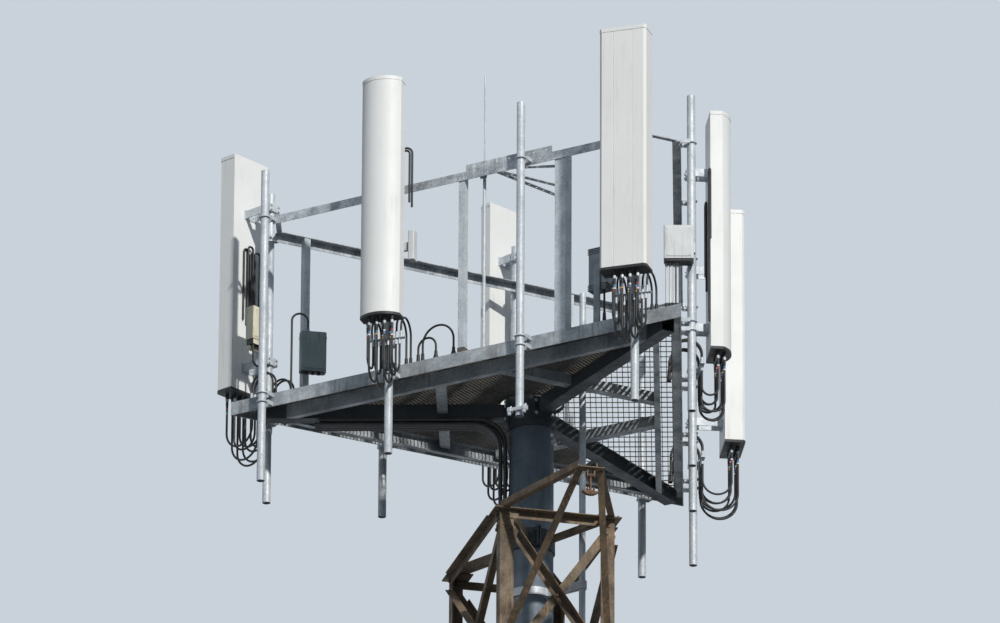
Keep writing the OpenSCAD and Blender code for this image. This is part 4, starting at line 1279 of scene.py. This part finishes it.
@dataclass(frozen=True)
class FeederCaps:
    """Sealing caps on both ends of the cables that run down the pole."""

    row: int = 4
    pitch: float = 0.034
    out: float = 0.030
    radius: float = 0.014
    cover: float = 0.0002
    length: float = 0.060
    past: float = 0.006
    sides: int = 24
    bevel: float = 0.004

    def build(self) -> Piece:
        """Makes the caps.

        Returns:
            All caps as one piece.
        """
        low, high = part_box("feeder_cables")
        cap = Prism(self.radius + self.cover, self.length, -self.past, self.sides, self.bevel)
        places = []
        for layer, i in product((0, 1), range(self.row)):
            y = (i - (self.row - 1) / 2) * self.pitch
            foot = Vector((-DECK.pole_r - self.out - layer * self.pitch, y, low[2]))
            top = high[2] - self.radius - layer * self.pitch
            head = Vector((low[0] + (1 - layer) * self.pitch, y, top))
            places += [stand(foot, UP), stand(head, Vector((1, 0, 0)))]
        return Bench.repeat("feeder_caps", cap.make("cap"), places)


@dataclass(frozen=True)
class BackPlates:
    """Plates on the antennas' backs that the bracket arms hold."""

    plate: Block = Block((0.128, 0.004, 0.072), (0, 0.0021, 0), 0.0012)
    bolt: Prism = Prism(0.0085, 0.006, 0.0, 6, 0.0008)
    bolt_half: float = 0.030
    bolt_y: float = 0.004

    def build(self) -> Piece:
        """Makes the plates with their bolts.

        Returns:
            All plates as one piece.
        """
        pieces = [self.plate.make("plate")]
        for side in BOTH:
            spot = moved(side * self.bolt_half, self.bolt_y, 0) @ turned(-90, "X")
            pieces.append(Bench.put(self.bolt.make("head"), spot))
        model = Bench.join("plate", pieces)
        places = [a.place @ moved(0, a.back, z) for a, z in product(ANTENNAS, DECK.bracket_z)]
        return Bench.repeat("back_plates", model, places)


@dataclass(frozen=True)
class Cover:
    """A flat plate on a box's front, set in from its edges."""

    inset: float
    thickness: float
    out: float
    bevel: float

    def on(self, wide: float, deep: float, high: float) -> Block:
        """Fits the plate to a box of this size."""
        size = (wide - self.inset, self.thickness, high - self.inset)
        return Block(size, (0, -deep / 2 - self.out, high / 2), self.bevel)


@dataclass(frozen=True)
class Enclosure:
    """Lid, screws, base plate and glands of one box on the platform."""

    name: str
    slot: str
    place: Matrix
    size: Triple
    lid_turn: float
    skirt: float
    skirt_inset: float
    glands: tuple[float, ...] = ()
    panel: Cover = Cover(0.034, 0.005, 0.0015, 0.002)
    rim: Cover = Cover(0.022, 0.0026, 0.0002, 0.001)
    screw: Prism = Prism(0.0044, 0.0032, 0.0, 12, 0.0008)
    screw_in: float = 0.028
    screw_out: float = 0.0038
    lap: float = 0.0002
    skirt_bevel: float = 0.002
    gland_r: float = 0.0135
    gland_h: float = 0.012
    gland_bevel: float = 0.001

    def lid(self) -> Piece:
        """Makes the raised lid with a screw at each corner.

        Returns:
            The lid in its place.
        """
        wide, deep, high = self.size
        if round(self.lid_turn) % 180:
            wide, deep = deep, wide
        pieces = [cover.on(wide, deep, high).make("cover") for cover in (self.panel, self.rim)]
        for x, z in product(BOTH, (self.screw_in, high - self.screw_in)):
            spot = moved(x * (wide / 2 - self.screw_in), -deep / 2 - self.screw_out, z)
            pieces.append(Bench.put(self.screw.make("screw"), spot @ turned(90, "X")))
        return Bench.put(Bench.join(f"{self.name}_lid", pieces), self.place @ turned(self.lid_turn))

    def base(self) -> Piece:
        """Makes the black plate that closes the box below, with its glands.

        Returns:
            The plate in its place.
        """
        wide, deep = (side - self.skirt_inset for side in self.size[:2])
        skirt = Block((wide, deep, self.skirt), (0, 0, self.lap - self.skirt / 2), self.skirt_bevel)
        gland = Prism(self.gland_r, self.gland_h, -self.skirt - self.gland_h, 6, self.gland_bevel)
        pieces = [skirt.make("skirt")]
        pieces += [Bench.put(gland.make("gland"), moved(x, 0, 0)) for x in self.glands]
        return Bench.put(Bench.join(f"{self.name}_base", pieces), self.place)


def enclosures() -> list[Enclosure]:
    """Lists the three boxes that have lids.

    Returns:
        The boxes in their places.
    """
    post = POSTS[4]
    cream = DECK.at(2, DECK.pipe_t[3], DECK.pipe_out, z=0.520) @ turned(19) @ moved(x=0.165, y=0.020, z=0)
    green = DECK.at(post.face, post.along, out=-post.inset - 0.132, z=0.290) @ turned(-18)
    white = DECK.at(1, DECK.pipe_t[0] - DECK.pipe_r - 0.076, out=DECK.pipe_out - 0.090, z=0.410)
    return [
        Enclosure(
            "cream_box", "box_cream", cream, size=(0.128, 0.080, 0.255),
            lid_turn=180, skirt=0.0405, skirt_inset=0.0125,
        ),
        Enclosure(
            "green_box", "box_green_grey", green, size=(0.195, 0.090, 0.309),
            lid_turn=180, skirt=0.004, skirt_inset=0.030, glands=(-0.045, 0, 0.045),
        ),
        Enclosure(
            "white_box", "box_white", white, size=(0.120, 0.215, 0.255),
            lid_turn=-90, skirt=0.0165, skirt_inset=0.0145,
        ),
    ]


@dataclass(frozen=True)
class FinnedBox:
    """Black cooling ribs over and under the finned box."""

    rib: Block = Block((0.162, 0.092, 0.004), (0, 0.008, 0), 0.001)
    ribs: int = 4
    pitch: float = 0.013
    low: float = 0.006
    high: float = 0.324
    before_pipe: float = 0.367
    inset: float = 0.047
    lift: float = 0.255

    def build(self) -> Piece:
        """Makes two stacks of level ribs.

        Returns:
            All ribs as one piece.
        """
        depth = DECK.rail_t + DECK.seat + self.inset
        place = DECK.at(0, DECK.pipe_t[3] - self.before_pipe, -depth, self.lift)
        starts = ((self.low, self.pitch), (self.high, -self.pitch))
        places = [place @ moved(0, 0, z + i * step) for z, step in starts for i in range(self.ribs)]
        return Bench.repeat("finned_ribs", self.rib.make("rib"), places)


@dataclass(frozen=True)
class Clips:
    """Small clamps: at the lower end of the third near pipe, and at the rod."""

    bar: Block = Block((0.150, 0.012, 0.026), (0, -0.038, 0.045), 0.002)
    jaw: Block = Block((0.030, 0.044, 0.036), (0, -0.030, 0.045), 0.005)
    lip: Block = Block((0.022, 0.020, 0.030), (0, -0.040, 0.018), 0.004)
    bolt: Prism = Prism(0.006, 0.050, 0.030, 12, 0.001)
    bolt_y: float = -0.018
    half: float = 0.062
    pipe_end: float = -0.630
    hoop_r: float = 0.0150
    hoop_wire: float = 0.0026
    hoop_segments: tuple[int, int] = (28, 8)
    strap: Block = Block((0.056, 0.003, 0.030), (0, -0.0138, 0), 0.001)
    rod_along: float = 2.116
    rod_in: float = 0.0123
    rod_below: tuple[float, ...] = (0.010, 0.040)

    def beam_clips(self) -> Piece:
        """Makes the two cast clips and their bar at the near pipe's lower end.

        Returns:
            The clips in their place.
        """
        pieces = [self.bar.make("bar")]
        rows = ((self.jaw, 0), (self.lip, 0), (self.bolt, self.bolt_y))
        for side, (shape, y) in product(BOTH, rows):
            pieces.append(Bench.put(shape.make("part"), moved(side * self.half, y, 0)))
        place = DECK.at(0, DECK.pipe_t[2], DECK.pipe_out, self.pipe_end)
        return Bench.put(Bench.join("pipe_end_clips", pieces), place)

    def rod_clamp(self) -> Piece:
        """Makes the straps that hold the thin rod against the handrail.

        Returns:
            The straps in their place.
        """
        Bench.clear()
        major, minor = self.hoop_segments
        bpy.ops.mesh.primitive_torus_add(
            major_radius=self.hoop_r, minor_radius=self.hoop_wire,
            major_segments=major, minor_segments=minor,
        )
        hoop = bpy.context.object
        Bench.settle(hoop)
        model = Bench.join("rod_strap", [hoop, self.strap.make("plate")])
        inward = -DECK.hand_w - self.rod_in
        places = [DECK.at(0, self.rod_along, inward, DECK.hand_h - z) for z in self.rod_below]
        return Bench.repeat("rod_clamp", model, places)


# Stage


@dataclass(frozen=True)
class Lamp:
    """A sun lamp, with its spread and turn in degrees."""

    name: str
    energy: float
    spread: float
    turn: Triple
    tint: Triple

    def light(self) -> None:
        """Adds the lamp to the scene."""
        lamp = bpy.data.lights.new(self.name, "SUN")
        lamp.energy, lamp.angle, lamp.color = self.energy, math.radians(self.spread), self.tint
        thing = bpy.data.objects.new(self.name, lamp)
        thing.rotation_euler = tuple(math.radians(v) for v in self.turn)
        bpy.context.scene.collection.objects.link(thing)


@dataclass(frozen=True)
class Studio:
    """Camera, lamps and floor."""

    eye: Triple = (1.3372, -65.1537, -14.1780)
    yaw: float = -1.38336
    pitch: float = 21.95115
    roll: float = 0.32166
    focal: float = 9578.6
    image_w: float = 1000.0
    sensor: float = 36.0
    clip: Pair = (0.5, 400.0)
    key: Lamp = Lamp("sun_key", 3.05, 2.0, (57, 0, 26), (1.0, 0.98, 0.94))
    fill: Lamp = Lamp("sun_fill", 0.20, 40.0, (58, 0, -60), (0.86, 0.93, 1.0))
    floor: Prism = Prism(5.5, 0.05, -0.05, 96)
    floor_tone: str = "#d2d1cd"
    floor_roughness: float = 0.9
    back_tone: str = "#c9d2da"
    sky_tint: tuple[float, ...] = (0.72, 0.84, 1.0, 1.0)
    sky_z: Pair = (-0.25, 0.35)
    sky_strength: Pair = (0.05, 0.36)

    def build(self) -> None:
        """Sets the whole stage."""
        self._camera()
        self.key.light()
        self.fill.light()
        self._floor()
        self._world()
        bpy.context.scene.view_settings.view_transform = "Standard"

    def _camera(self) -> None:
        """Puts the camera where the photograph's viewing angle is."""
        lens = bpy.data.cameras.new("camera")
        lens.sensor_width = self.sensor
        lens.lens = self.focal * self.sensor / self.image_w
        lens.clip_start, lens.clip_end = self.clip
        camera = bpy.data.objects.new("camera", lens)
        bpy.context.scene.collection.objects.link(camera)
        turn = turned(-self.yaw) @ turned(90 + self.pitch, "X") @ turned(self.roll)
        camera.matrix_world = moved(*self.eye) @ turn
        bpy.context.scene.camera = camera

    def _floor(self) -> None:
        """Adds the pale round floor."""
        floor = self.floor.make("floor")
        material = bpy.data.materials.new("floor")
        material.use_nodes = True
        tree = NodeTree(material.node_tree)
        looks = {"Base Color": srgb(self.floor_tone), "Roughness": self.floor_roughness}
        tree.feed(tree.tree.nodes["Principled BSDF"], looks)
        floor.data.materials.append(material)

    def _world(self) -> None:
        """Lights from the sky, with a pale backdrop for the eye and for gloss."""
        world = bpy.data.worlds.new("studio")
        bpy.context.scene.world = world
        world.use_nodes = True
        tree = NodeTree(world.node_tree)
        sky = tree.add("ShaderNodeTexCoord").outputs["Generated"]
        level = tree.add("ShaderNodeSeparateXYZ", {0: sky}).outputs["Z"]
        strength = tree.ramp(level, *self.sky_z, *self.sky_strength)
        light = tree.add("ShaderNodeBackground", {"Color": self.sky_tint, "Strength": strength})
        back = world.node_tree.nodes["Background"]
        tree.feed(back, {"Color": srgb(self.back_tone), "Strength": 1.0})
        rays = tree.add("ShaderNodeLightPath").outputs
        seen = tree.math("MAXIMUM", rays["Is Camera Ray"], rays["Is Glossy Ray"])
        blend = tree.add("ShaderNodeMixShader", {0: seen, 1: light.outputs[0], 2: back.outputs[0]})
        tree.feed(world.node_tree.nodes["World Output"], {"Surface": blend.outputs[0]})


def dress_frame(frame: dict, finishes: dict[str, Material]) -> None:
    """Gives every node of the frame the finish of its record slot, or its weathered one; the deck's frame
    and joists get a darker zinc with painted shade.

    Args:
        finishes: Materials by slot.
    """
    for row in frame["record"]["subparts"]:
        node = frame["nodes"][row["node"]]
        finish = WEATHERED_AND_SHADED.get(row["node"], row["material_slot"])
        for slot in node.material_slots:
            slot.material = finishes[finish]
        LOG.info("dressed %s in %s", row["node"], finish)


def details() -> Iterable[tuple[Piece, str, str]]:
    """Makes the pieces that the part's source leaves to the scene.

    Yields:
        A piece, its record slot and its body.
    """
    screws, trim, clips = Fasteners(), JumperTrim(), Clips()
    rows = [
        (LatticeBolts().build, "lattice_brown"), (screws.anchors, "galvanized"),
        (screws.collar_bolts, "dark_steel"), (screws.mount_bolts, "galvanized"),
        (screws.pipe_nuts, "galvanized"), (screws.bracket_bolts, "galvanized"),
        (screws.clamp_nuts, "rusty_iron"), (trim.connectors, "galvanized"),
        (trim.sleeves, "black_plastic"), (FeederCaps().build, "black_plastic"),
        (BackPlates().build, "galvanized"),
    ]
    for box in enclosures():
        rows += [(box.lid, box.slot), (box.base, "black_plastic")]
    rows += [
        (FinnedBox().build, "black_plastic"), (clips.beam_clips, "galvanized"),
        (clips.rod_clamp, "galvanized"),
    ]
    for make, slot in rows:
        yield make(), slot, "line_clamp" if make == screws.clamp_nuts else "tower"


def main() -> None:
    """Builds the dressed tower and its stage."""
    logging.basicConfig(level=logging.INFO, format="%(name)s: %(message)s")
    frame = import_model()
    Bench.clear()
    Studio().build()
    kit = Weathering()
    finishes = {slot: finish.build(kit) for slot, finish in FINISHES.items()}
    dress_frame(frame, finishes)
    for k, face in enumerate(("near", "right", "left")):
        panel = Grating(k, f"grating_{face}", face == "right").build()
        Bench.dress(panel, finishes["grating_steel"], "grating_steel")
        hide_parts(f"deck_grating_{face}")
        LOG.info("built %s, %d faces", panel.name, len(panel.data.polygons))
    for piece, slot, body in details():
        Bench.dress(piece, finishes[slot], slot, body)
        LOG.info("built %s, %d faces", piece.name, len(piece.data.polygons))
    for name, (tone, rows) in TAPES.items():
        tape = Finish(name, tone, tone, TAPE_STAIN, 20.0, roughness=(0.4, 0.55), relief=0.0001)
        Bench.dress(JumperTrim().bands(name, rows), tape.build(kit), "cable_black")


if __name__ == "__main__":
    main()
